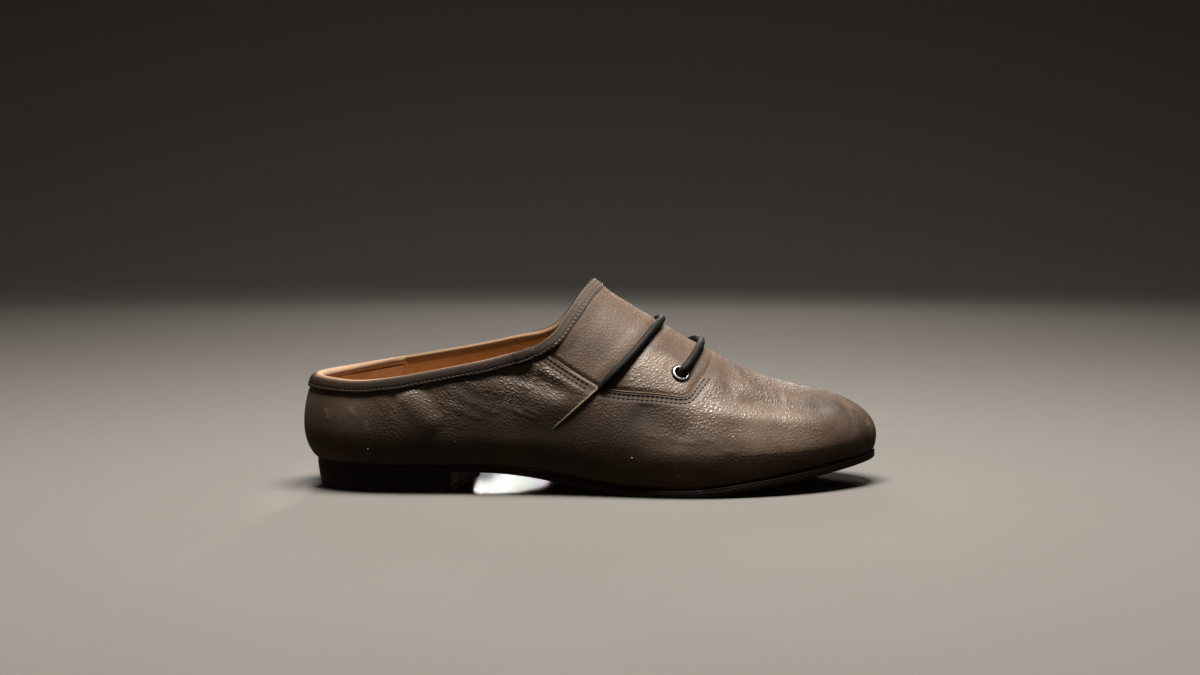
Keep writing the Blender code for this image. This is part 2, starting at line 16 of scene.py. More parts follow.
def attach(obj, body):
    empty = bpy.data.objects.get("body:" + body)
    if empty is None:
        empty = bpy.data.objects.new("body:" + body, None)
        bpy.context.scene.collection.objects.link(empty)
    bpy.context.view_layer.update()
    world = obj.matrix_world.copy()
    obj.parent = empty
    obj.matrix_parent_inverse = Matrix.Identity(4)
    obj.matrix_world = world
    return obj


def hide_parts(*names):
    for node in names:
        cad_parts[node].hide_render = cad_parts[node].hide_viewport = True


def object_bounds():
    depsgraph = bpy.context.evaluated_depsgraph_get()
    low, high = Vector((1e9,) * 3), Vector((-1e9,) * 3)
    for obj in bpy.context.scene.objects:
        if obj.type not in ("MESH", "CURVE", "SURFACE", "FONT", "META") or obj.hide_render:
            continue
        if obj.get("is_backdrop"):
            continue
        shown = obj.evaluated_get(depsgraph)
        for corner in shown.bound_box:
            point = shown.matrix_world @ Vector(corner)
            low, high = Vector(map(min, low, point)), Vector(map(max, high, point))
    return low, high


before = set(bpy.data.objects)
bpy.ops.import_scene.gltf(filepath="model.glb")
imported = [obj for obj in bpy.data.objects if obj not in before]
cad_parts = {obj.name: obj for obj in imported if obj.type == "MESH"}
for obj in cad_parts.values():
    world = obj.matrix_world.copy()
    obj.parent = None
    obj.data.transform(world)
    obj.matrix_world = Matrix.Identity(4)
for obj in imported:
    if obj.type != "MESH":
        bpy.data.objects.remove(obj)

CAD_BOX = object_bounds()

bl_info = {
    "name": "Laced Dance Shoe",
    "version": (1, 0, 0),
    "blender": (4, 5, 0),
    "location": "3D View > Sidebar > Dance Shoe",
    "description": "Dresses a low leather dance shoe, piece by piece, round its solids",
    "category": "Add Mesh",
}

MM = 0.001
LATERAL, MEDIAL = -1, 1
BOTH = (LATERAL, MEDIAL)
SIDE_NAMES = {LATERAL: "lateral", MEDIAL: "medial"}

# The last: sizes shared with the solids
SHOE_LENGTH = 264.0
SOLE_HEEL, SOLE_TOE = -125.8, 130.4
SOLE_THICKNESS = 3.4
SOLE_MARGIN_HEEL, SOLE_MARGIN_TOE = 0.2, 1.0
INSOLE_THICKNESS, INSOLE_INSET = 1.6, 2.8
GAP = 0.3
SEAT_HEIGHT = 9.2
SHANK_START, TREAD_START, TREAD_END = -50.0, 26.0, 44.0
TOE_SPRING, SPRING_POWER = 11.8, 1.1
HEEL_TAPER = 1.6
BREAST_LATERAL, BREAST_MEDIAL = -63.0, -52.0
TUCK_ANGLE = math.radians(65)
HEEL_CENTRE = -94.0
PANEL_RECESS = 0.8

# One row for each section of the last; half widths on each side of y = 0, heights and the arch's power
Section = namedtuple(
    "Section", "share wide_lateral wide_medial sole_lateral sole_medial wide_z top ridge fullness"
)
SECTIONS = [
    Section(0.000, 0.0, 0.0, 0.0, 0.0, 28.5, 28.5, 0.0, 0.50),
    Section(0.040, 21.5, 21.0, 17.2, 16.8, 28.2, 59.5, 0.0, 0.50),
    Section(0.100, 29.5, 28.6, 24.6, 23.6, 27.6, 72.0, 0.0, 0.50),
    Section(0.180, 32.5, 31.0, 27.2, 25.6, 27.0, 80.0, 0.0, 0.51),
    Section(0.280, 33.4, 30.6, 27.6, 24.2, 26.4, 92.0, 0.2, 0.53),
    Section(0.400, 35.3, 30.6, 28.6, 23.2, 25.6, 104.0, 0.8, 0.57),
    Section(0.520, 39.6, 33.6, 34.6, 28.4, 23.6, 91.3, 1.6, 0.61),
    Section(0.620, 43.0, 38.8, 40.4, 36.2, 20.6, 75.2, 2.8, 0.64),
    Section(0.700, 43.0, 42.4, 41.4, 40.8, 19.0, 62.4, 3.8, 0.66),
    Section(0.780, 39.0, 43.4, 37.6, 41.9, 18.8, 51.4, 5.0, 0.67),
    Section(0.860, 31.2, 39.8, 30.0, 38.4, 19.6, 45.3, 6.0, 0.66),
    Section(0.930, 19.8, 31.8, 18.8, 30.6, 21.0, 40.6, 6.4, 0.60),
    Section(0.975, 8.6, 22.6, 8.0, 21.8, 22.0, 34.2, 6.5, 0.53),
    Section(1.000, -6.5, 6.5, -6.5, 6.5, 22.3, 22.3, 6.5, 0.50),
]

# Height of the collar's bare edge at shares of the length
Collar = namedtuple("Collar", "share lateral medial")
COLLAR = [
    Collar(0.000, 50.0, 50.0),
    Collar(0.050, 49.2, 51.2),
    Collar(0.105, 49.0, 53.2),
    Collar(0.180, 51.3, 56.4),
    Collar(0.270, 55.7, 60.2),
    Collar(0.345, 60.0, 64.0),
    Collar(0.410, 65.4, 68.2),
]

# Seams and edges seen from the side, as x with the height on each side of the foot
Edge = namedtuple("Edge", "x lateral medial")
PANEL_REAR_SEAM = [Edge(-23.8, 65.4, 68.2), Edge(-12.0, 57.4, 58.6), Edge(3.4, 48.2, 49.0)]
PANEL_FRONT_SEAM = [
    Edge(3.4, 48.2, 49.0),
    Edge(15.0, 46.6, 47.2),
    Edge(28.0, 45.6, 46.0),
    Edge(37.5, 44.4, 44.7),
    Edge(41.8, 44.4, 44.6),
    Edge(44.6, 46.8, 47.0),
    Edge(50.4, 53.0, 53.0),
]
PANEL_FRONT_X = 55.5
PANEL_COLLAR = [
    Edge(-23.8, 65.4, 68.2),
    Edge(-16.9, 70.2, 71.4),
    Edge(-11.6, 77.0, 76.8),
    Edge(-6.0, 85.4, 84.8),
    Edge(-1.6, 90.8, 90.4),
]
PANEL_TIP_X = 1.8
FOOT_OF_COLLAR = {LATERAL: 0.350, MEDIAL: 0.370}
FOOT_OF_SEAM = {LATERAL: 0.415, MEDIAL: 0.440}
UPRIGHT_SHARES = (0.03, 0.14, 0.55, 0.80)

# Lace bars and eyelets: the same routes as the solids, with ends that run into the shoe
REAR_LACE = [Edge(6.2, 50.3, 50.3), Edge(13.0, 57.0, 57.0), Edge(22.0, 66.3, 66.3), Edge(28.4, 72.8, 72.8)]
REAR_LACE_X = 31.6
REAR_LACE_LIP, REAR_LACE_END = (4.2, 48.2), (0.8, 45.4)
FRONT_LACE = [Edge(41.2, 55.0, 55.6), Edge(43.4, 57.6, 60.6), Edge(45.6, 60.2, 63.6), Edge(47.8, 62.6, 64.6)]
FRONT_LACE_X = 49.2
EYELET_X, EYELET_HEIGHT = 39.9, 54.2

# Mesh counts of the fine skins: columns along each stretch of the edge, rows under and over the widest line
Counts = namedtuple("Counts", "collar rear front tuck wall")
SKIN_COUNTS = Counts(88, 30, 112, 12, 74)
LINING_COUNTS = Counts(60, 14, 40, 6, 26)
PANEL_ROWS = 64
LOOP_STATIONS = 460
COLLAR_SAMPLES, TAB_SAMPLES = 160, 241
COARSE_LOOP, COARSE_TAB = 150, 61
SOLE_STATIONS = 150
LACE_STATIONS, LACE_ROUND = 240, 32

# Creases, listed on one or both sides of the foot, as (x, z) seen from the side.
# A ridge has a positive height and a trough a negative one; rub is how far it is worn light.
Crease = namedtuple("Crease", "sides height width rub points")
CREASES = [
    Crease(BOTH, 0.25, 1.9, 0.06, [(-28, 58.4), (-17.2, 53.2), (-8.6, 49), (-1.5, 45.6)]),
    Crease(BOTH, -0.85, 3.6, 0, [(-44, 57), (-30.4, 53.6), (-17.8, 48.4), (-8, 44.6)]),
    Crease(BOTH, 0.35, 4.6, 0, [(-52, 50), (-34, 46), (-18, 41.5), (-6, 38)]),
    Crease((LATERAL,), 0.8, 5.8, 0.12, [(-84, 48), (-80, 43.6), (-76.8, 39.2), (-73, 34), (-66, 28.6)]),
    Crease((LATERAL,), -0.22, 2.6, 0, [(-91, 47), (-86.5, 41.5), (-83, 36), (-78, 30)]),
    Crease((LATERAL,), -0.35, 2.6, 0, [(-76, 50.5), (-72, 45.5), (-68.5, 39.5), (-64, 34)]),
    Crease((MEDIAL,), 0.6, 3.2, 0.1, [(-70, 53), (-64, 46), (-60, 39), (-54, 32)]),
    Crease((MEDIAL,), -0.4, 3, 0, [(-76, 51), (-70, 43.5), (-66, 36)]),
    Crease((LATERAL,), 0.16, 0.8, 0.55, [(-119.4, 38), (-118, 35.2), (-116.8, 31.4)]),
    Crease((LATERAL,), 0.14, 0.8, 0.5, [(-107.6, 39.2), (-106, 36.6), (-104, 33.8)]),
    Crease((LATERAL,), 0.16, 0.8, 0.55, [(-99.9, 33.4), (-99.4, 30), (-98, 26.4)]),
    Crease(BOTH, -0.9, 3.6, 0, [(64, 43), (80.7, 39.8), (94.5, 37.6), (112, 35)]),
    Crease(BOTH, 0.75, 4.2, 0.06, [(42, 40), (61.9, 35.2), (75.5, 33.4), (93.9, 31.2), (112, 28.6)]),
    Crease(BOTH, -0.3, 3.4, 0, [(60.6, 57), (61.4, 49.9), (62.7, 41.2)]),
    Crease(BOTH, 0.22, 3.2, 0.06, [(64.3, 56), (67.3, 51.6), (70.5, 48.1), (73, 44)]),
    Crease(BOTH, -0.8, 7, 0, [(16, 39.5), (30.9, 32.6), (46, 26)]),
    Crease(BOTH, 0.45, 4.6, 0.08, [(18, 17), (36.5, 17.4), (48.3, 16.4), (62, 15.6)]),
    Crease(BOTH, -0.32, 1.9, 0, [(113.2, 40.2), (117, 34), (118.4, 27.4), (116.6, 21.9)]),
]

# Fine wrinkles in families: each wrinkle starts one step on from the last and takes the same run
Wrinkles = namedtuple("Wrinkles", "sides count start step run height width rub")
WRINKLES = [
    Wrinkles((LATERAL,), 5, (-96, 46), (3.6, 0.2), (7.6, -9.6), 0.15, 0.8, 0.1),
    Wrinkles((LATERAL,), 9, (-67, 49), (4.6, 0.5), (12, -7.6), 0.2, 0.95, 0.1),
    Wrinkles((LATERAL,), 7, (-66, 41), (6, -0.2), (13, -6), 0.16, 0.95, 0.08),
    Wrinkles((MEDIAL,), 8, (-82, 52), (6.4, 0.3), (11, -9), 0.18, 0.95, 0.1),
    Wrinkles(BOTH, 10, (64, 54), (2.6, -1.1), (2.2, -7), 0.15, 0.7, 0.14),
    Wrinkles(BOTH, 6, (24, 29), (6, -0.8), (10, -4), 0.12, 0.9, 0.06),
]

# Patches on the upper as centres on its lateral, medial or top face with a radius: dirt, scuffs, gloss with a
# painted highlight, and painted shade
Patch = namedtuple("Patch", "x y z radius strength")
GRIME_PATCHES = [
    Patch(130, 5, 27, 10, 0.9),
    Patch(126, -8, 25, 8, 0.85),
    Patch(125, 16, 26, 9, 0.8),
    Patch(120, 2, 35, 8, 0.5),
    Patch(116, -14, 24, 8, 0.45),
    Patch(110, -9, 36.5, 8, 1),
    Patch(101, -13, 37.5, 5, 0.9),
    Patch(119, -8, 33, 7, 0.8),
    Patch(112, 14, 37, 6, 0.35),
    Patch(-128, -6, 30, 12, 0.25),
]
SCUFF_PATCHES = [
    Patch(127.5, -5, 29, 2.2, 0.6),
    Patch(128.8, -6, 22.5, 1.8, 0.7),
    Patch(122, -13, 21.5, 2.4, 0.4),
    Patch(118.5, -4, 36, 1.6, 0.35),
    Patch(-106, -28.6, 37, 5, 0.22),
    Patch(-112, -27, 36, 4, 0.2),
]
# Glossier, polished patches whose colour is also painted lighter as a highlight
POLISH_AND_HIGHLIGHT_PATCHES = [
    Patch(-78, -31, 44, 9.5, 1),
    Patch(-106, -28, 40, 11, 0.55),
    Patch(56, -35, 37, 10, 0.7),
    Patch(72, -34, 34.5, 11, 1),
    Patch(88, -27, 33, 10, 0.9),
    Patch(68, -22, 49, 8, 0.6),
    Patch(-66, 29, 46, 9, 0.6),
    Patch(75, 38, 33, 12, 0.8),
]
# Painted shade darkening the lower sides of the upper, on both sides
SHADE_PATCHES = [
    Patch(20, -38, 33, 15, 0.8),
    Patch(8, -37, 26, 16, 0.8),
    Patch(-20, -36, 28, 17, 0.95),
    Patch(-50, -34, 29, 17, 0.95),
    Patch(-76, -33, 25, 14, 0.85),
    Patch(-100, -31, 20, 12, 0.5),
    Patch(12, 34, 28, 20, 0.6),
    Patch(-40, 31, 25, 20, 0.6),
]

# Dust on the lateral side, as (x, z) seen from the side
DUST_SPECKS = [(-98.8, 20.4), (17.8, 18.0), (37.4, 14.3), (38.3, 10.4), (62.0, 27.0), (-60.0, 24.0)]


# Shapes of the last


class Smooth:
    """A natural cubic spline through table values; values may be numbers or points."""

    def __init__(self, places, values):
        self.places = np.asarray(places, float)
        self.values = np.asarray(values, float)
        span = np.diff(self.places)
        count = len(self.places)
        system = np.eye(count)
        right = np.zeros_like(self.values)
        for i in range(1, count - 1):
            system[i, i - 1 : i + 2] = span[i - 1], 2 * (span[i - 1] + span[i]), span[i]
            after = (self.values[i + 1] - self.values[i]) / span[i]
            before = (self.values[i] - self.values[i - 1]) / span[i - 1]
            right[i] = 6 * (after - before)
        self.bend = np.linalg.solve(system, right)

    def __call__(self, at):
        at = np.clip(np.asarray(at, float), self.places[0], self.places[-1])
        k = np.clip(np.searchsorted(self.places, at) - 1, 0, len(self.places) - 2)
        span = self.places[k + 1] - self.places[k]
        b = (at - self.places[k]) / span
        a = 1 - b
        bow = span * span / 6
        if self.values.ndim > 1:
            a, b, bow = a[..., None], b[..., None], bow[..., None]
        return (
            a * self.values[k]
            + b * self.values[k + 1]
            + bow * ((a**3 - a) * self.bend[k] + (b**3 - b) * self.bend[k + 1])
        )


def unit(vectors):
    return vectors / np.maximum(np.linalg.norm(vectors, axis=-1, keepdims=True), 1e-9)


def ease(value, low, high):
    """Smooth step from 0 at low to 1 at high."""
    share = np.clip((np.asarray(value, float) - low) / (high - low), 0, 1)
    return share * share * (3 - 2 * share)


def bell(distance, spread):
    """1 at no distance, falling away smoothly on both sides."""
    return np.exp(-((distance / spread) ** 2))


def far_from(points, place):
    return np.linalg.norm(points - place, axis=1)


def between(at, places, points):
    """Points of a line at distances along it, given the places of the line's own points."""
    return np.stack([np.interp(at, places, points[:, axis]) for axis in range(points.shape[1])], -1)


def arc_places(points):
    """Distance along a line of points, from its start."""
    return np.concatenate([[0], np.cumsum(np.linalg.norm(np.diff(points, axis=0), axis=1))])


def turn_of(share):
    """Share of the length as an angle, in which both round ends of the shoe are smooth."""
    return np.arccos(np.clip(1 - 2 * np.asarray(share, float), -1, 1))


def share_of(turn):
    return (1 - np.cos(turn)) / 2


def shares_between(first, last, count):
    return share_of(np.linspace(turn_of(first), turn_of(last), count + 1))


TURNS = [turn_of(row.share) for row in SECTIONS]
LAST = {column: Smooth(TURNS, [getattr(row, column) for row in SECTIONS]) for column in Section._fields[1:]}
COLLAR_TURNS = [turn_of(row.share) for row in COLLAR]
COLLAR_HEIGHT = {
    LATERAL: Smooth(COLLAR_TURNS, [row.lateral for row in COLLAR]),
    MEDIAL: Smooth(COLLAR_TURNS, [row.medial for row in COLLAR]),
}


def turn_at(x):
    return turn_of(np.asarray(x, float) / SHOE_LENGTH + 0.5)


def signed_half_width(turn, side):
    """y of the widest line: lateral half widths lie along -y."""
    return np.where(np.asarray(side) < 0, -LAST["wide_lateral"](turn), LAST["wide_medial"](turn))


def wide_line(share, side):
    """The widest line of the upper in plan."""
    x = SHOE_LENGTH * (np.asarray(share, float) - 0.5)
    return np.stack([x, signed_half_width(turn_of(share), side)], -1)


def sole_line(share, side, margin=0.0):
    """The line where the upper meets the sole in plan, moved out by a margin."""
    turn = turn_of(share)
    lateral, medial = LAST["sole_lateral"](turn), LAST["sole_medial"](turn)
    middle, half = (medial - lateral) / 2, (medial + lateral) / 2
    x_middle, x_half = (SOLE_TOE + SOLE_HEEL) / 2, (SOLE_TOE - SOLE_HEEL) / 2
    x = x_middle - (x_half + margin) * np.cos(turn)
    y = middle + np.asarray(side) * (half + margin * np.sin(turn))
    return np.stack([x, y], -1)


def crown(plan):
    """Height of the upper's outer face above a point in plan, inside the widest line."""
    x, y = plan[..., 0], plan[..., 1]
    turn = turn_at(x)
    ridge = LAST["ridge"](turn)
    reach = np.abs(signed_half_width(turn, np.where(y < ridge, LATERAL, MEDIAL)) - ridge)
    across = np.clip(np.abs(y - ridge) / np.maximum(reach, 1e-6), 0, 1)
    low, top = LAST["wide_z"](turn), LAST["top"](turn)
    return low + (top - low) * (1 - across**2) ** LAST["fullness"](turn)


def plan_at(x, height, side):
    """The point in plan where the upper's outer face has this height on one side."""
    turn = turn_at(x)
    ridge = LAST["ridge"](turn)
    low, top = LAST["wide_z"](turn), LAST["top"](turn)
    rise = np.clip((height - low) / np.maximum(top - low, 1e-6), 0, 1)
    across = np.sqrt(1 - rise ** (1 / LAST["fullness"](turn)))
    reach = signed_half_width(turn, side) - ridge
    return np.stack([np.asarray(x, float), ridge + reach * across], -1)


def on_face(plan):
    """Plan points lifted onto the upper's outer face."""
    plan = np.asarray(plan, float)
    return np.concatenate([plan, crown(plan)[..., None]], -1)


def face_normals(points):
    """Outward normals of the upper's outer face above its widest line."""

    def outside(p):
        turn = turn_at(p[..., 0])
        ridge = LAST["ridge"](turn)
        side = np.where(p[..., 1] < ridge, LATERAL, MEDIAL)
        low, top = LAST["wide_z"](turn), LAST["top"](turn)
        rise = np.maximum((p[..., 2] - low) / np.maximum(top - low, 1e-6), 0)
        across = (p[..., 1] - ridge) / (signed_half_width(turn, side) - ridge)
        return across**2 + rise ** (1 / LAST["fullness"](turn))

    step = 0.05
    slopes = [outside(points + step * axis) - outside(points - step * axis) for axis in np.eye(3)]
    return unit(np.stack(slopes, -1))


def side_point(x, height, side):
    """A point on the upper as seen from the side, above or below the widest line."""
    point = on_face(plan_at(x, height, side))
    point[2] = min(height, point[2])
    return point


def over_the_foot(rows, crest_x, count):
    """A line in plan over the instep: up the lateral side to the crest and down the medial side."""
    crest = np.array([crest_x, LAST["ridge"](turn_at(crest_x))])
    up = [plan_at(row.x, row.lateral, LATERAL) for row in rows]
    down = [plan_at(row.x, row.medial, MEDIAL) for row in reversed(rows)]
    points = np.array([*up, crest, *down])
    places = arc_places(on_face(points))
    crest_place = places[len(rows)]
    half = (count - 1) // 2
    rising = np.linspace(0, crest_place, half + 1)
    falling = np.linspace(crest_place, places[-1], half + 1)
    return Smooth(places, points)(np.concatenate([rising, falling[1:]]))


def collar_line(share, side):
    """The collar's bare edge in plan: where a level line in from the widest line reaches its height."""
    start = wide_line(share, side)
    inner_x = np.maximum(start[..., 0], HEEL_CENTRE)
    target = np.stack([inner_x, LAST["ridge"](turn_at(inner_x))], -1)
    height = COLLAR_HEIGHT[side](turn_of(share))
    near, far = np.zeros(len(start)), np.ones(len(start))
    halvings = 40
    for _ in range(halvings):
        middle = (near + far) / 2
        short = crown(start + middle[:, None] * (target - start)) < height
        near, far = np.where(short, middle, near), np.where(short, far, middle)
    return start + near[:, None] * (target - start)


def seam_line(rows, side, count):
    """A seam on one side of the foot in plan."""
    points = np.array([plan_at(row.x, row.lateral if side < 0 else row.medial, side) for row in rows])
    places = arc_places(points)
    return Smooth(places, points)(np.linspace(0, places[-1], count + 1))


def throat(count):
    """The panel's front edge in plan, from the lateral corner over the crest to the medial corner."""
    return over_the_foot(PANEL_FRONT_SEAM, PANEL_FRONT_X, 2 * count + 1)


def throat_side(side, count):
    """The half of the panel's front edge on one side, from its rear corner to the crest."""
    front = throat(count)
    return front[: count + 1] if side < 0 else front[: count - 1 : -1]


def seat(x):
    """Height of the sole's underside along the shoe."""
    x = np.asarray(x, float)
    fall = np.clip((x - SHANK_START) / (TREAD_START - SHANK_START), 0, 1)
    rise = np.clip((x - TREAD_END) / (SOLE_TOE - TREAD_END), 0, 1.1)
    return SEAT_HEIGHT * (1 - fall * fall * (3 - 2 * fall)) + TOE_SPRING * rise**SPRING_POWER


def tab_edge(count):
    """The bare edge of the panel's tab in plan."""
    return over_the_foot(PANEL_COLLAR, PANEL_TIP_X, count)


def collar_loop(stations):
    """The whole bare edge on the outer face, round the collar and over the panel's tip, evenly spaced."""
    shares = shares_between(0, COLLAR[-1].share, COLLAR_SAMPLES)
    lateral, medial = (collar_line(shares, side) for side in BOTH)
    loop = on_face(np.concatenate([lateral, tab_edge(TAB_SAMPLES)[1:-1], medial[::-1]]))
    places = arc_places(loop)
    return between(np.linspace(0, places[-1], stations, endpoint=False), places, loop)


def down_the_face(points, direction, distance):
    """Points this far down the outer face from its edge, following the face."""
    steps = 4
    for _ in range(steps):
        normals = face_normals(points)
        direction = unit(direction - normals * np.sum(direction * normals, -1, keepdims=True))
        points = points + direction * distance / steps
        miss = (points[..., 2] - crown(points[..., :2])) * normals[..., 2]
        points = points - normals * miss[..., None]
    return points


def moved_along_face(line, distance):
    """A line in plan moved along the face, square to itself, towards its left."""
    points = on_face(line)
    inward = unit(np.cross(face_normals(points), np.gradient(points, axis=0)))
    return (points + distance * inward)[:, :2]


def along_line(points, line):
    """(distance to a line of points, share of the line's length at the nearest place) for each point."""
    places = arc_places(line)
    best = np.full(len(points), np.inf)
    share = np.zeros(len(points))
    for a, b, start, end in zip(line, line[1:], places, places[1:]):
        reach = np.clip((points - a) @ (b - a) / max((b - a) @ (b - a), 1e-12), 0, 1)
        distance = np.linalg.norm(points - (a + reach[:, None] * (b - a)), axis=1)
        closer = distance < best
        best = np.where(closer, distance, best)
        share = np.where(closer, (start + reach * (end - start)) / places[-1], share)
    return best, share


def smooth_route(points, count):
    points = np.array(points)
    places = arc_places(points)
    return Smooth(places, points)(np.linspace(0, places[-1], count))


# The upper's skin


def side_columns(side, counts):
    """(shares along the sole, edge points in plan) of the skin's columns from heel to crest."""
    ramp_share, ramp_edge = 0.0014, 0.35
    collar = collar_line(shares_between(0, COLLAR[-1].share, counts.collar), side)
    rear = seam_line(PANEL_REAR_SEAM, side, counts.rear)
    front = throat_side(side, counts.front)
    foot = [
        shares_between(0, FOOT_OF_COLLAR[side], counts.collar),
        shares_between(FOOT_OF_COLLAR[side], FOOT_OF_SEAM[side], counts.rear)[1:],
        [FOOT_OF_SEAM[side] + ramp_share],
        shares_between(FOOT_OF_SEAM[side], 1, counts.front)[1:],
    ]
    edge = [collar, rear[1:], [front[0] + (front[1] - front[0]) * ramp_edge], front[1:]]
    return np.concatenate(foot), np.concatenate(edge)


def skin_column(share, edge, side, counts):
    """Points up one column: tucked in at the sole, out to the widest line, in to the edge."""
    wide, sole = wide_line(share, side), sole_line(share, side)
    wide_z = float(LAST["wide_z"](turn_of(share)))
    foot_z = float(seat(sole[0])) + SOLE_THICKNESS
    angles = np.linspace(TUCK_ANGLE, 0, counts.tuck + 1)[:-1]
    inward = (1 - np.cos(angles)) / (1 - math.cos(TUCK_ANGLE))
    drop = np.sin(angles) / math.sin(TUCK_ANGLE)
    tuck = np.column_stack([wide + inward[:, None] * (sole - wide), wide_z - drop * (wide_z - foot_z)])
    rise = np.linspace(0, 1, counts.wall + 1)
    inward = 1 - np.cos(rise * math.pi / 2)
    level = wide + inward[:, None] * (edge - wide)
    edge_z = float(crown(edge))
    upright = plan_at(wide[0] + rise * (edge[0] - wide[0]), wide_z + rise * (edge_z - wide_z), side)
    upright[0], upright[-1] = wide, edge
    flat = float(np.interp(share, UPRIGHT_SHARES, (1, 0, 0, 1)))
    wall = on_face(upright + flat * (level - upright))
    wall[0, 2] = wide_z
    return np.concatenate([tuck, wall])


def skin_grid(counts):
    """(points, outward normals, rows of the quarter's lift) over both sides, heel to crest to heel."""
    columns, quarter = [], []
    for side in BOTH:
        shares, edges = side_columns(side, counts)
        grid = [skin_column(share, edge, side, counts) for share, edge in zip(shares, edges)]
        behind = [1.0 if share <= FOOT_OF_SEAM[side] else 0.0 for share in shares]
        columns += grid if side < 0 else grid[-2::-1]
        quarter += behind if side < 0 else behind[-2::-1]
    points = np.stack(columns, axis=1)
    along = np.gradient(points, axis=1)
    along[:, 0] = along[:, -1] = points[:, 1] - points[:, -2]
    normals = unit(np.cross(along, np.gradient(points, axis=0)))
    return points, normals, np.array(quarter)


# How each wrinkle of a family strays in place, length and bow
STRAY, STRAY_STEP = np.array([0.9, 0.7]), 2.4
LENGTH, LENGTH_CHANGE, LENGTH_STEP = 0.85, 0.25, 1.7
BOW, BOW_STEP = 0.08, 3.1


def crease_lines():
    """Every crease and wrinkle as (line on the face, height, width, rub)."""
    for crease in CREASES:
        for side in crease.sides:
            line = [side_point(x, z, side) for x, z in crease.points]
            yield smooth_route(line, 24), crease.height, crease.width, crease.rub
    for family in WRINKLES:
        for side in family.sides:
            for k in range(family.count):
                stray = STRAY * math.sin(STRAY_STEP * k + family.start[0])
                start = np.array(family.start) + k * np.array(family.step) + stray
                run = np.array(family.run) * (LENGTH + LENGTH_CHANGE * math.sin(LENGTH_STEP * k))
                bow = BOW * np.array([-run[1], run[0]]) * math.cos(BOW_STEP * k)
                line = [start, start + 0.5 * run + bow, start + run]
                line = smooth_route([side_point(x, z, side) for x, z in line], 10)
                yield line, family.height, family.width, family.rub


# The quarter's lap over the vamp: its step, how far back that reaches and the heights where it grows
SEAM_LIFT, SEAM_REACH, SEAM_LOW, SEAM_HIGH = 0.90, 24.0, 28.0, 42.0

# The sewn strip beside the throat, and where it closes up over the crest
STITCH_ROWS = (1.10, 3.00)
STRIP_WIDTH = 4.1
STRIP_CHANNEL, CHANNEL_SPREAD = 0.26, 1.9
STRIP_RIDGE, RIDGE_SPREAD = 0.05, 0.6
EDGE_ROUNDING, EDGE_SPREAD = 0.30, 0.45
STRIP_RUB, RUB_SPREAD, EDGE_RUB = 0.07, 0.5, 0.6
FADE_X, FADE_Z = (38.0, 42.0), (47.5, 55.0)

# The groove over the sole's edge and the binding's press on the leather
FOOT_GROOVE, FOOT_GROOVE_HEIGHT = 0.95, 1.5
GROOVE_REAR, GROOVE_FRONT = (-60.0, 30.0), (112.0, 126.0)
UNDER_BINDING, BINDING_FOOT, PRESS_SPREAD = 0.30, 4.8, 1.0

# Creases run out at their ends, at the collar, at the seams and over the sole
CREASE_REACH, CREASE_TAPER = 70.0, 0.22
CALM_COLLAR, CALM_SEAM, LEFT_AT_SEAM = (3.6, 7.5), (3.6, 6.4), 0.20
CLEAR_OF_COLLAR, CLEAR_OF_SOLE = (2.0, 6.0), (0.5, 6.0)


def throat_lines():
    """The edges of the upper at the panel, on the face: rear seam, front edge and rear seam."""
    lateral, medial = (on_face(seam_line(PANEL_REAR_SEAM, side, 24)) for side in BOTH)
    return np.concatenate([lateral[:-1], on_face(throat(60)), medial[-2::-1]])


def side_seam(side):
    """The line where the quarter overlaps the vamp, from the sole up to the panel's corner."""
    corner = throat_side(side, 60)[0]
    return skin_column(FOOT_OF_SEAM[side], corner, side, SKIN_COUNTS)


def throat_distance(points):
    """How far points lie from the upper's edges at the panel."""
    return along_line(points, throat_lines())[0]


def seam_shows(points):
    """1 along the sewn seam and 0 where it closes up, over the crest of the instep."""
    return 1 - ease(points[:, 2], *FADE_Z) * ease(points[:, 0], *FADE_X)


def strip_relief(distance):
    """Pressed channel under the two stitch rows beside a seam's edge, with a narrow ridge beyond it."""
    middle = sum(STITCH_ROWS) / 2
    channel = STRIP_CHANNEL * bell(distance - middle, CHANNEL_SPREAD)
    ridge = STRIP_RIDGE * bell(distance - STRIP_WIDTH, RIDGE_SPREAD)
    return ridge - channel - EDGE_ROUNDING * bell(distance, EDGE_SPREAD)


def quarter_lift(points, behind):
    """How far the quarter stands over the vamp: a step at the side seam that fades back and down."""
    lift = np.zeros(len(points))
    for side in BOTH:
        distance, _ = along_line(points, side_seam(side)[::4])
        here = SEAM_LIFT * (1 - ease(distance, 0, SEAM_REACH)) * ease(points[:, 2], SEAM_LOW, SEAM_HIGH)
        lift = np.maximum(lift, np.where(points[:, 1] * side > 0, here, 0))
    return lift * behind


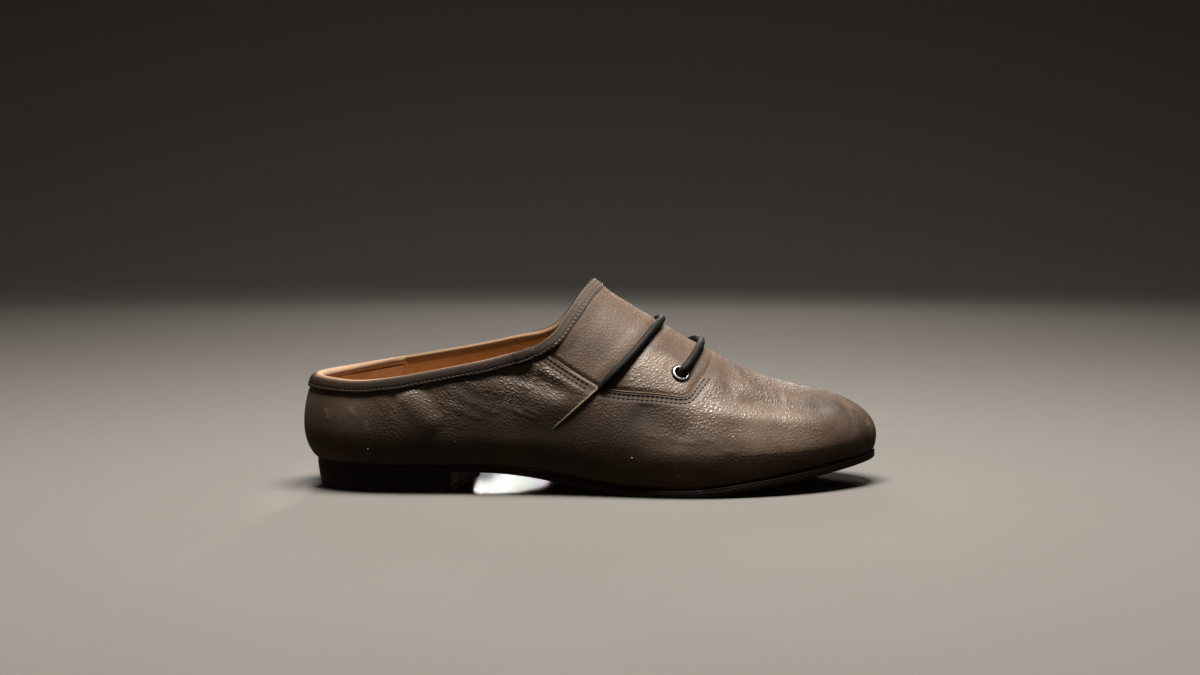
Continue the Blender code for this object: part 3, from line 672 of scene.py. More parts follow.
def skin_relief(points, behind):
    """(height of the creases and seams over the last, wear) at points of the upper."""
    relief, rub = np.zeros(len(points)), np.zeros(len(points))
    for line, height, width, worn in crease_lines():
        near = np.nonzero(np.max(np.abs(points - line.mean(0)), axis=1) < CREASE_REACH)[0]
        distance, share = along_line(points[near], line)
        taper = ease(share, 0, CREASE_TAPER) * (1 - ease(share, 1 - CREASE_TAPER, 1))
        mark = bell(distance, width) * taper
        relief[near] += height * mark
        rub[near] += worn * mark
    collar, _ = along_line(points, collar_loop(COARSE_LOOP))
    seam = throat_distance(points)
    over_sole = points[:, 2] - seat(points[:, 0]) - SOLE_THICKNESS
    calm = ease(collar, *CALM_COLLAR) * (LEFT_AT_SEAM + (1 - LEFT_AT_SEAM) * ease(seam, *CALM_SEAM))
    clear = ease(collar, *CLEAR_OF_COLLAR)
    shows = seam_shows(points)
    groove = FOOT_GROOVE * bell(over_sole, FOOT_GROOVE_HEIGHT)
    groove *= ease(points[:, 0], *GROOVE_REAR) * (1 - ease(points[:, 0], *GROOVE_FRONT))
    relief = relief * calm * ease(over_sole, *CLEAR_OF_SOLE) - groove
    relief += (strip_relief(seam) * shows + quarter_lift(points, behind)) * clear
    relief -= UNDER_BINDING * bell(collar - BINDING_FOOT, PRESS_SPREAD)
    worn_edge = STRIP_RUB * bell(seam - STRIP_WIDTH, RUB_SPREAD) + EDGE_RUB * bell(seam, EDGE_SPREAD)
    return relief, rub * calm + worn_edge * shows * clear


def patch_marks(points, patches):
    """The strongest of a table's round patches at each point."""
    marks = np.zeros(len(points))
    for patch in patches:
        distance = far_from(points, (patch.x, patch.y, patch.z))
        marks = np.maximum(marks, patch.strength * bell(distance, patch.radius))
    return marks


# Modelling helpers


def only(piece):
    """Makes a piece the one thing that is selected and active."""
    bpy.ops.object.select_all(action="DESELECT")
    piece.select_set(True)
    bpy.context.view_layer.objects.active = piece


def started(name, primitive, **settings):
    """A new primitive under its own name, the only thing selected."""
    bpy.ops.object.select_all(action="DESELECT")
    primitive(**settings)
    piece = bpy.context.object
    piece.name = piece.data.name = name
    return piece


@contextmanager
def editing(piece, select="SELECT"):
    """Edit mode on one piece, with all or nothing of it selected at the start."""
    only(piece)
    bpy.ops.object.mode_set(mode="EDIT")
    bpy.ops.mesh.select_all(action=select)
    yield
    bpy.ops.object.mode_set(mode="OBJECT")


def grid_piece(name, points, marks=None):
    """A grid primitive placed through an array of rows by columns of points, with marks on its vertices."""
    rows, columns = points.shape[:2]
    counts = {"x_subdivisions": columns - 1, "y_subdivisions": rows - 1}
    piece = started(name, bpy.ops.mesh.primitive_grid_add, size=1.0, **counts)
    if len(piece.data.vertices) != rows * columns:
        raise RuntimeError(f"{name}: the grid has {len(piece.data.vertices)} points, not {rows * columns}")
    piece.data.vertices.foreach_set("co", (points * MM).astype(np.float32).ravel())
    for mark, values in (marks or {}).items():
        attribute = piece.data.attributes.new(mark, "FLOAT", "POINT")
        attribute.data.foreach_set("value", np.asarray(values, np.float32).ravel())
    piece.data.update()
    return piece


MERGE_DISTANCE = 0.004 * MM


def weld(piece, outward=False):
    """Merges a piece's coincident points and, for a closed shape, turns its faces outwards."""
    with editing(piece):
        bpy.ops.mesh.remove_doubles(threshold=MERGE_DISTANCE)
        bpy.ops.mesh.dissolve_degenerate(threshold=MERGE_DISTANCE)
        if outward:
            bpy.ops.mesh.normals_make_consistent(inside=False)


def modify(piece, kind, **settings):
    """Adds a modifier and applies it."""
    only(piece)
    bpy.ops.object.modifier_add(type=kind)
    modifier = piece.modifiers[-1]
    for name, value in settings.items():
        setattr(modifier, name, value)
    bpy.ops.object.modifier_apply(modifier=modifier.name)


def dress(piece, materials):
    for material in materials:
        piece.data.materials.append(material)


def sheet(name, points, materials, thickness, marks=None):
    """A sheet through rows of points with its wall inwards; materials are for its face, inside and rim."""
    piece = grid_piece(name, points, marks)
    weld(piece)
    dress(piece, materials)
    inwards = {"thickness": thickness, "offset": -1.0, "use_even_offset": False}
    modify(piece, "SOLIDIFY", material_offset=1, material_offset_rim=2, **inwards)
    return piece


def hand_over(piece, slot, *nodes, angle=50):
    """Smooths a finished piece, lets it ride on the shoe and hides the solids it stands for; its slot is not
    used.
    """
    only(piece)
    bpy.ops.object.shade_smooth_by_angle(angle=math.radians(angle))
    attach(piece, "root")
    if nodes:
        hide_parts(*nodes)


def swept(name, rings, closed, marks=None):
    """A tube through rings of points, welded round each ring and, if closed, along the path."""
    rings = np.concatenate([rings, rings[:, :1]], axis=1)
    if closed:
        rings = np.concatenate([rings, rings[:1]], axis=0)
    piece = grid_piece(name, rings, marks)
    weld(piece, outward=True)
    return piece


def rings_along(path, radii, points):
    """Rings of points round a path over the face, with a radius for each ring or for each of its points."""
    along = unit(np.gradient(path, axis=0))
    side = unit(np.cross(along, face_normals(path)))
    up = np.cross(side, along)
    angle = np.linspace(0, 2 * math.pi, points, endpoint=False)[None, :, None]
    return path[:, None] + radii[..., None] * (np.cos(angle) * up[:, None] + np.sin(angle) * side[:, None])


def round_rings(path, radius, points=8):
    """Rings of a thin round bead along a path, drawn in at both ends."""
    share = np.linspace(0, 1, len(path))
    taper_share, tip = 0.12, 0.2
    taper = np.clip(np.minimum(share, 1 - share) / taper_share, tip, 1)
    return rings_along(path, radius * taper[:, None], points)


def cap_ends(piece):
    """Fills the open ends of a tube."""
    with editing(piece, "DESELECT"):
        bpy.ops.mesh.select_mode(type="EDGE")
        bpy.ops.mesh.select_non_manifold()
        bpy.ops.mesh.edge_face_add()
        bpy.ops.mesh.select_all(action="SELECT")
        bpy.ops.mesh.normals_make_consistent(inside=False)


def tube(name, rings, material, slot, *nodes):
    """A thin tube with filled ends, dressed and handed over."""
    piece = swept(name, rings, False)
    cap_ends(piece)
    dress(piece, [material])
    hand_over(piece, slot, *nodes, angle=80)


def copies(name, model, places):
    """One mesh of many copies of a small modelled thing, each at its place; the model is used up."""
    mesh = model.data
    points = np.array([vertex.co for vertex in mesh.vertices])
    faces = [list(polygon.vertices) for polygon in mesh.polygons]
    all_points, all_faces = [], []
    for place in places:
        start = len(all_points) * len(points)
        turned = points @ np.array(place.to_3x3()).T + np.array(place.translation)
        all_faces += [[start + corner for corner in face] for face in faces]
        all_points.append(turned)
    joined = bpy.data.meshes.new(name)
    joined.from_pydata(np.concatenate(all_points).tolist(), [], all_faces)
    piece = bpy.data.objects.new(name, joined)
    bpy.context.scene.collection.objects.link(piece)
    bpy.data.objects.remove(model)
    return piece


def stand(point, along, up):
    """A placing with x along a line and z up from the surface."""
    x = Vector(along).normalized()
    y = Vector(up).cross(x).normalized()
    return Matrix.Translation(Vector(point) * MM) @ Matrix((x, y, x.cross(y))).transposed().to_4x4()


# Finishes


class Finish:
    """A procedural material on Object coordinates, built node by node."""

    def __init__(self, name, **sockets):
        self.material = bpy.data.materials.new(name)
        self.material.use_nodes = True
        self.tree = self.material.node_tree
        self.shader = self.tree.nodes["Principled BSDF"]
        self.where = self.node("ShaderNodeTexCoord").outputs["Object"]
        for socket, value in sockets.items():
            self.shader.inputs[socket.replace("_", " ")].default_value = value

    def node(self, kind, inputs=None, **settings):
        node = self.tree.nodes.new(kind)
        for name, value in settings.items():
            setattr(node, name, value)
        for name, value in (inputs or {}).items():
            self.join(value, node.inputs[name])
        return node

    def join(self, value, socket):
        if isinstance(value, bpy.types.NodeSocket):
            self.tree.links.new(value, socket)
        else:
            socket.default_value = value

    def noise(self, scale, detail=2.0, roughness=0.5, where=None):
        inputs = {"Vector": where or self.where, "Scale": scale, "Detail": detail, "Roughness": roughness}
        return self.node("ShaderNodeTexNoise", inputs).outputs["Fac"]

    def cells(self, scale, where=None):
        inputs = {"Vector": where or self.where, "Scale": scale}
        return self.node("ShaderNodeTexVoronoi", inputs, feature="DISTANCE_TO_EDGE").outputs["Distance"]

    def warped(self, scale, reach, where=None):
        """Coordinates pushed about by noise, so that no pattern on them runs straight."""
        where = where or self.where
        noise = self.node("ShaderNodeTexNoise", {"Vector": where, "Scale": scale, "Detail": 2.0})
        push = self.node(
            "ShaderNodeVectorMath",
            {0: noise.outputs["Color"], 1: (reach, reach, reach), 2: where},
            operation="MULTIPLY_ADD",
        )
        return push.outputs["Vector"]

    def stretched(self, turn, scale, where=None):
        """Coordinates turned about the shoe's width and then scaled along each axis."""
        turned = self.node("ShaderNodeMapping", {"Vector": where or self.where, "Rotation": (0, turn, 0)})
        return self.node("ShaderNodeMapping", {"Vector": turned.outputs[0], "Scale": scale}).outputs[0]

    def step(self, value, low, high, to_low=0.0, to_high=1.0):
        inputs = {"Value": value, "From Min": low, "From Max": high, "To Min": to_low, "To Max": to_high}
        return self.node("ShaderNodeMapRange", inputs, interpolation_type="SMOOTHSTEP").outputs["Result"]

    def sum(self, a, b, operation="ADD"):
        return self.node("ShaderNodeMath", {0: a, 1: b}, operation=operation).outputs[0]

    def times(self, a, b):
        return self.sum(a, b, "MULTIPLY")

    def blend(self, share, a, b):
        """Colour a going to colour b by a share."""
        colours = {0: share, 6: a if isinstance(a, bpy.types.NodeSocket) else (*a, 1.0), 7: (*b, 1.0)}
        return self.node("ShaderNodeMix", colours, data_type="RGBA").outputs[2]

    def mark(self, name):
        return self.node("ShaderNodeAttribute", attribute_name=name).outputs["Fac"]

    def height_axis(self, axis):
        return self.node("ShaderNodeSeparateXYZ", {"Vector": self.where}).outputs[axis]

    def bump(self, height, distance, under=None):
        inputs = {"Height": height, "Distance": distance * MM, "Strength": 1.0}
        if under is not None:
            inputs["Normal"] = under
        return self.node("ShaderNodeBump", inputs).outputs["Normal"]

    def done(self, colour, roughness, normal):
        self.join(colour, self.shader.inputs["Base Color"])
        self.join(roughness, self.shader.inputs["Roughness"])
        self.join(normal, self.shader.inputs["Normal"])
        return self.material


def scaled(colour, factor):
    """A colour made darker or lighter."""
    return tuple(min(1.0, channel * factor) for channel in colour)


def pebbled_leather(
    name, colours, grain=1.0, pebble=620.0, coat=0.48, gloss=(0.36, 0.52), shine=0.5, lean=-0.50, flat=0.16
):
    """Full-grain leather: pebbles with painted shade in their valleys, flowing wrinkles, rubbed marks, dirty
    marks (painted shade on the binding's lower edge), polished marks that also paint a highlight, and painted
    shade.

    grain scales the relief, pebble is the cells to a metre, lean turns the flowing wrinkles and flat is the
    share of the relief that is left where the grain is pulled smooth.
    """
    finish = Finish(name, Specular_IOR_Level=shine, Coat_Weight=coat, Coat_Roughness=0.36)
    loose = finish.warped(240.0, 0.0010)
    pebbles = finish.step(finish.cells(pebble, loose), 0.0, 0.42)
    small = finish.step(finish.cells(pebble * 1.9, loose), 0.0, 0.45)
    flowing = finish.stretched(lean, (260.0, 540.0, 820.0), finish.warped(130.0, 0.0020))
    flow = finish.times(finish.step(finish.cells(1.0, flowing), 0.0, 0.40), finish.mark("flow"))
    pores = finish.noise(5200.0, 3.0)
    patchy = finish.step(finish.noise(70.0, 3.0), 0.28, 0.66, 0.40, 1.0)
    smoothed = finish.step(finish.mark("smooth"), 0.0, 1.0, 1.0, flat)
    height = finish.sum(finish.times(pebbles, 0.60), finish.times(small, 0.18))
    height = finish.sum(height, finish.times(flow, 0.60))
    height = finish.sum(finish.times(height, patchy), finish.times(pores, 0.05))
    normal = finish.bump(finish.times(height, smoothed), 0.27 * grain)
    normal = finish.bump(finish.times(finish.noise(420.0, 3.0, 0.6), smoothed), 0.12, under=normal)

    tone = finish.step(finish.noise(38.0, 4.0, 0.6), 0.30, 0.72)
    valley_shade = finish.step(finish.sum(pebbles, finish.times(pores, 0.5)), 0.05, 0.85, 0.55, 0.0)
    fibres = finish.step(finish.noise(900.0, 4.0, 0.7), 0.42, 0.62, 0.3, 1.0)
    blotches = finish.step(finish.noise(430.0, 5.0, 0.7), 0.36, 0.60, 0.20, 1.0)
    scratches = finish.noise(1.0, 4.0, 0.6, finish.stretched(0.35, (90.0, 500.0, 1500.0)))
    colour = colours.leather_deep_and_shade
    for share, layer in (
        (tone, colours.leather),
        # painted shade in the pebbles' valleys
        (valley_shade, scaled(colours.leather_deep_and_shade, 0.55)),
        (finish.times(finish.mark("rub"), fibres), colours.leather_worn_and_highlight),
        # dirt, and on the binding painted shade under its lower edge
        (finish.times(finish.mark("grime_and_shade"), blotches), colours.grime_and_shade),
        # painted highlight on polished patches
        (finish.times(finish.mark("polish_and_highlight"), 0.42), colours.leather_worn_and_highlight),
        # painted shade on the lower sides and along the sewn strip
        (finish.times(finish.mark("shade"), 0.8), scaled(colours.leather_deep_and_shade, 0.30)),
        (finish.times(finish.mark("scuff"), finish.step(scratches, 0.46, 0.60)), colours.leather_worn_and_highlight),
        (finish.mark("bare"), colours.cut_edge),
    ):
        colour = finish.blend(share, colour, layer)

    roughness = finish.step(finish.noise(160.0, 4.0, 0.6), 0.25, 0.75, *gloss)
    for share, change in (
        (finish.mark("grime_and_shade"), 0.05),
        (finish.mark("polish_and_highlight"), -0.16),
        (valley_shade, 0.14),
        (finish.mark("smooth"), 0.20),
    ):
        roughness = finish.sum(roughness, finish.times(share, change))
    return finish.done(colour, roughness, normal)


def fibrous(name, base, other, fibre=1500.0, roughness=(0.62, 0.85), depth=0.12, stain=0.5):
    """Matt fibrous stuff: lining, raw edges, sock and thread, with soft stains."""
    finish = Finish(name, Specular_IOR_Level=0.12)
    stains = finish.step(finish.noise(55.0, 5.0, 0.65), 0.36, 0.70, 0.0, stain)
    fibres = finish.noise(fibre, 4.0, 0.7)
    colour = finish.blend(stains, base, other)
    colour = finish.blend(finish.step(fibres, 0.45, 0.75, 0.0, 0.35), colour, scaled(other, 0.8))
    nap = finish.sum(fibres, finish.times(finish.cells(fibre * 0.7), 0.5))
    rough = finish.step(finish.noise(300.0), 0.3, 0.7, *roughness)
    return finish.done(colour, rough, finish.bump(nap, depth))


def two_tone(name, colour, light, dark, fibre):
    """Fibrous stuff in a light and a dark tone of one colour."""
    return fibrous(name, scaled(colour, light), scaled(colour, dark), fibre)


def waxed_leather(name, base, worn, band=0.0, underside=False, roughness=(0.34, 0.55)):
    """Dense sole leather: waxed and streaked along its edge, scuffed where it is walked on."""
    finish = Finish(name, Specular_IOR_Level=0.28)
    streaks = finish.noise(1.0, 4.0, 0.6, finish.stretched(0.0, (60.0, 60.0, 2200.0)))
    mottled = finish.noise(120.0, 5.0, 0.65)
    colour = finish.blend(finish.step(mottled, 0.35, 0.7, 0.0, 0.7), scaled(base, 0.6), base)
    colour = finish.blend(finish.step(streaks, 0.52, 0.70, 0.0, 0.30), colour, worn)
    height = finish.sum(finish.times(streaks, 0.5), finish.times(finish.noise(1800.0, 3.0), 0.5))
    if underside:
        scratches = finish.noise(1.0, 5.0, 0.7, finish.stretched(0.0, (140.0, 1500.0, 140.0)))
        walked = finish.times(finish.step(mottled, 0.40, 0.62), finish.step(scratches, 0.42, 0.62, 0.25, 1.0))
        colour = finish.blend(walked, colour, worn)
        height = finish.sum(height, scratches)
    if band:
        levels = finish.times(finish.height_axis("Z"), 1.0 / (band * MM))
        layers = finish.node("ShaderNodeMath", {0: levels, 1: 1.0}, operation="PINGPONG").outputs[0]
        colour = finish.blend(finish.step(layers, 0.86, 1.0, 0.0, 0.5), colour, scaled(worn, 1.1))
    rough = finish.step(finish.noise(220.0, 4.0), 0.3, 0.7, *roughness)
    return finish.done(colour, rough, finish.bump(height, 0.10))


def cord_fibre(name, base):
    """Waxed black cord: fine strands that catch the light."""
    finish = Finish(name, Specular_IOR_Level=0.14)
    strands = finish.noise(1.0, 3.0, 0.6, finish.stretched(0.8, (900.0, 2600.0, 2600.0)))
    dust = finish.step(finish.noise(380.0, 4.0, 0.7), 0.52, 0.75, 0.0, 0.5)
    colour = finish.blend(finish.step(strands, 0.35, 0.7), scaled(base, 0.6), scaled(base, 1.7))
    colour = finish.blend(dust, colour, scaled(base, 2.2))
    rough = finish.step(strands, 0.3, 0.7, 0.50, 0.75)
    return finish.done(colour, rough, finish.bump(strands, 0.12))


def turned_metal(name, base, dull):
    """Bright nickel, finely scratched and dulled in patches."""
    finish = Finish(name, Metallic=1.0)
    patches = finish.step(finish.noise(500.0, 4.0, 0.6), 0.40, 0.72)
    scratches = finish.noise(1.0, 3.0, 0.7, finish.stretched(0.4, (700.0, 4000.0, 4000.0)))
    colour = finish.blend(patches, base, dull)
    rough = finish.sum(finish.step(patches, 0.0, 1.0, 0.30, 0.46), finish.times(scratches, 0.06))
    return finish.done(colour, rough, finish.bump(scratches, 0.01))


def pale_floor(name, colour):
    """Matt paint with hardly any change of tone."""
    finish = Finish(name, Specular_IOR_Level=0.08)
    tone = finish.step(finish.noise(1.2, 3.0), 0.3, 0.7, 0.0, 0.5)
    paint = finish.blend(tone, colour, scaled(colour, 0.97))
    rough = finish.step(finish.noise(14.0, 3.0), 0.3, 0.7, 0.80, 0.90)
    return finish.done(paint, rough, finish.bump(finish.noise(300.0, 3.0), 0.004))


# Settings that a user would change


def number(name, description, default, **more):
    return bpy.props.FloatProperty(name=name, description=description, default=default, **more)


def size(name, description, millimetres):
    return number(name, description, millimetres * MM, min=0.0, unit="LENGTH", subtype="DISTANCE")


def tint(name, description, colour):
    return bpy.props.FloatVectorProperty(
        name=name, description=description, default=colour, size=3, min=0.0, max=1.0, subtype="COLOR"
    )


class ShoeSizes(bpy.types.PropertyGroup):
    """Sizes of what is sewn, glued and threaded onto the last."""

    skin: size("Skin", "Thickness of the upper's leather", 1.2)
    lining: size("Lining", "Thickness of the lining", 0.8)
    panel: size("Panel", "Thickness of the instep panel", 1.3)
    stitch: size("Stitch", "Length of a stitch that shows", 1.90)
    pitch: size("Stitch pitch", "Distance from one needle hole to the next", 2.1)
    thread: size("Thread", "Thickness of the sewing thread", 0.66)
    lace: size("Lace", "Diameter of the round lace", 3.5)
    eyelet_hole: size("Eyelet hole", "Radius of an eyelet's hole", 2.7)


class ShoeColours(bpy.types.PropertyGroup):
    """Colours of the leathers, lining, lace and metal."""

    leather: tint("Leather", "Taupe brown of the upper", (0.098, 0.060, 0.037))
    # The dark end of the leather's random tone, also used for the painted shade in the grain's valleys and on
    # the lower sides
    leather_deep_and_shade: tint("Leather, deep", "Darker brown in the hollows of the upper", (0.056, 0.032, 0.018))
    # Pale leather for rubbed and scuffed wear, also painted on polished patches as a highlight
    leather_worn_and_highlight: tint("Leather, worn", "Pale rubbed leather", (0.24, 0.185, 0.145))
    # Dirt on the toe; the same tint paints the shade under the binding's lower edge
    grime_and_shade: tint("Grime", "Dark grey dirt on the toe", (0.020, 0.013, 0.009))
    cut_edge: tint("Cut edge", "Bare cut edge of the leather", (0.27, 0.195, 0.135))
    binding: tint("Binding", "Folded strip round the collar", (0.026, 0.015, 0.009))
    lining: tint("Lining", "Tan lining leather", (0.47, 0.285, 0.150))
    lining_stain: tint("Lining stain", "Foot-darkened lining", (0.32, 0.165, 0.075))
    heel_lining: tint("Heel lining", "Pinkish suede inside the heel", (0.52, 0.350, 0.245))
    collar_edge: tint("Collar edge", "Cream edge above the binding", (0.275, 0.178, 0.115))
    sole: tint("Sole", "Dark waxed sole leather", (0.026, 0.017, 0.012))
    sole_worn: tint("Sole, worn", "Scuffed sole leather", (0.085, 0.058, 0.040))
    heel: tint("Heel", "Near-black stacked heel", (0.014, 0.010, 0.008))
    lace: tint("Lace", "Dark grey cord", (0.0048, 0.0043, 0.0041))
    nickel: tint("Nickel", "Eyelet metal", (0.80, 0.79, 0.76))
    thread: tint("Thread", "Sewing thread", (0.085, 0.060, 0.043))


class StageSettings(bpy.types.PropertyGroup):
    """Floor, light and camera."""

    floor: tint("Floor", "Pale floor and backdrop", (0.125, 0.119, 0.111))
    key_power: number("Key light", "Power of the soft light overhead", 20.0, min=0.0, unit="POWER")
    back_power: number("Back light", "Power of the soft light behind the shoe", 4.0, min=0.0, unit="POWER")
    floor_power: number("Floor light", "Power of the low beam that only the floor takes", 0.11, unit="POWER")
    sky: number("Room light", "Brightness of the light from all round", 0.04, min=0.0)
    exposure: number("Exposure", "Stops by which the picture is brightened", 0.55)
    lens: number("Lens", "Focal length of the camera", 50.0, min=1.0, unit="CAMERA")
    eye: bpy.props.FloatVectorProperty(
        name="Eye", description="Place of the camera",
        default=(0.00385, -0.762, 0.130), unit="LENGTH", subtype="XYZ",
    )
    pitch: number("Pitch", "How far the camera looks down", math.radians(4.7), unit="ROTATION")


# Operators, one for each piece or group of like pieces


class ShoeOperator:
    """What the pieces share: each is made with the scene's sizes and colours."""

    bl_options = {"REGISTER", "UNDO"}

    def execute(self, context):
        self.make(context.scene.shoe_sizes, context.scene.shoe_colours)
        return {"FINISHED"}


class SHOE_OT_upper(ShoeOperator, bpy.types.Operator):
    """Vamp and quarters: one creased leather skin with a stitched throat and lapped side seams."""

    bl_idname = "shoe.upper"
    bl_label = "Upper"

    # Where the flowing wrinkles come and go along the quarters, and the height where they start
    FLOW_REAR, FLOW_FRONT, FLOW_HEIGHT = (-95, -70), (-12, 6), (24, 34)
    BARE_LIFT = (0.10, 0.40)
    # Painted shade along the sewn strip beside the throat, and how far its edge blurs
    SEWN_SHADE, SEWN_BLUR = 0.34, 0.6
    LAP_RADIUS, LAP_SINK, LAP_FORWARD, LAP_FROM = 0.42, 0.08, 0.25, 1.0
    RIM_RADIUS, RIM_SINK, RIM_FROM, RIM_SHOWS = 0.30, 0.22, 4.0, 0.25

    def make(self, sizes, colours):
        points, normals, quarter = skin_grid(SKIN_COUNTS)
        flat = points.reshape(-1, 3)
        relief, rub = skin_relief(flat, np.broadcast_to(quarter, points.shape[:2]).ravel())
        shaped = points + normals * relief.reshape(points.shape[:2])[..., None]
        seam = throat_distance(flat)
        shade = patch_marks(flat, SHADE_PATCHES)
        sewn = 1 - ease(seam, STRIP_WIDTH - self.SEWN_BLUR, STRIP_WIDTH + self.SEWN_BLUR)
        along = ease(flat[:, 0], *self.FLOW_REAR) * (1 - ease(flat[:, 0], *self.FLOW_FRONT))
        marks = {
            "rub": np.clip(rub, 0, 1),
            "grime_and_shade": patch_marks(flat, GRIME_PATCHES),
            "scuff": patch_marks(flat, SCUFF_PATCHES),
            "flow": along * ease(flat[:, 2], *self.FLOW_HEIGHT),
            "smooth": self.smooth(flat, seam, shade),
            # glossier patches, also painted lighter as a highlight
            "polish_and_highlight": patch_marks(flat, POLISH_AND_HIGHLIGHT_PATCHES),
            # painted shade: the shade patches and the sewn strip
            "shade": np.maximum(shade, self.SEWN_SHADE * sewn * seam_shows(flat)),
            "bare": self.bare(flat, quarter),
        }
        leather = pebbled_leather("pebbled_leather", colours)
        raw = fibrous("raw_leather_back", scaled(colours.leather_worn_and_highlight, 0.8), colours.leather)
        cut = two_tone("cut_leather_edge", colours.cut_edge, 1.0, 0.6, 2400.0)
        upper = sheet("upper_leather", shaped, (leather, raw, cut), sizes.skin, marks)
        hand_over(upper, "upper_leather", "upper")
        self.edges(colours)

    def edges(self, colours):
        """Thin raw edges that catch the light: the quarters' lap over the vamp and the rim of the throat."""
        pale = two_tone("quarter_cut_edge", colours.cut_edge, 0.68, 0.45, 2400.0)
        dull = two_tone("throat_cut_edge", colours.cut_edge, 0.50, 0.34, 2400.0)
        for side in BOTH:
            seam = side_seam(side)
            seam = seam[seam[:, 2] > SEAM_LOW + self.LAP_FROM]
            lift = quarter_lift(seam, np.ones(len(seam)))[:, None] - self.LAP_SINK
            lap = seam + face_normals(seam) * lift + (self.LAP_FORWARD, 0, 0)
            self.edge(f"quarter_edge_{SIDE_NAMES[side]}", lap, self.LAP_RADIUS, pale)
        rim = throat_lines()
        rim = rim[seam_shows(rim) > self.RIM_SHOWS]
        for side in BOTH:
            half = rim[rim[:, 1] * side > 0]
            half = smooth_route(half if side < 0 else half[::-1], 120)
            half = half[arc_places(half) > self.RIM_FROM]
            half = half - face_normals(half) * self.RIM_SINK
            self.edge(f"throat_edge_{SIDE_NAMES[side]}", half, self.RIM_RADIUS, dull)

    @staticmethod
    def edge(name, route, radius, material):
        tube(name, round_rings(smooth_route(route, 90), radius), material, "upper_leather")

    @staticmethod
    def smooth(points, seam, shade):
        """1 where the grain is pulled flat: round the heel, along the sole, over the toe and at seams."""
        x, z = points[:, 0], points[:, 2]
        heel = 1 - ease(x, -112, -84)
        toe = 0.7 * ease(x, 92, 118)
        low = 0.6 * (1 - ease(z, 20, 34))
        crest = 0.6 * ease(z, 48, 56) * ease(x, 40, 50)
        sewn = 1 - ease(seam, STRIP_WIDTH - 0.5, STRIP_WIDTH + 1.5)
        return np.maximum.reduce([heel, toe, low, crest, 0.8 * shade, sewn])

    def bare(self, points, quarter):
        """1 on the pair of columns on each side where the quarter's edge steps down to the vamp."""
        lift = quarter_lift(points, np.ones(len(points))).reshape(-1, len(quarter))
        bare = np.zeros_like(lift)
        changes = np.nonzero(np.diff(quarter))[0]
        for first in (changes[0], changes[-1]):
            pair = slice(first, first + 2)
            bare[:, pair] = ease(lift[:, pair], *self.BARE_LIFT)
        return bare


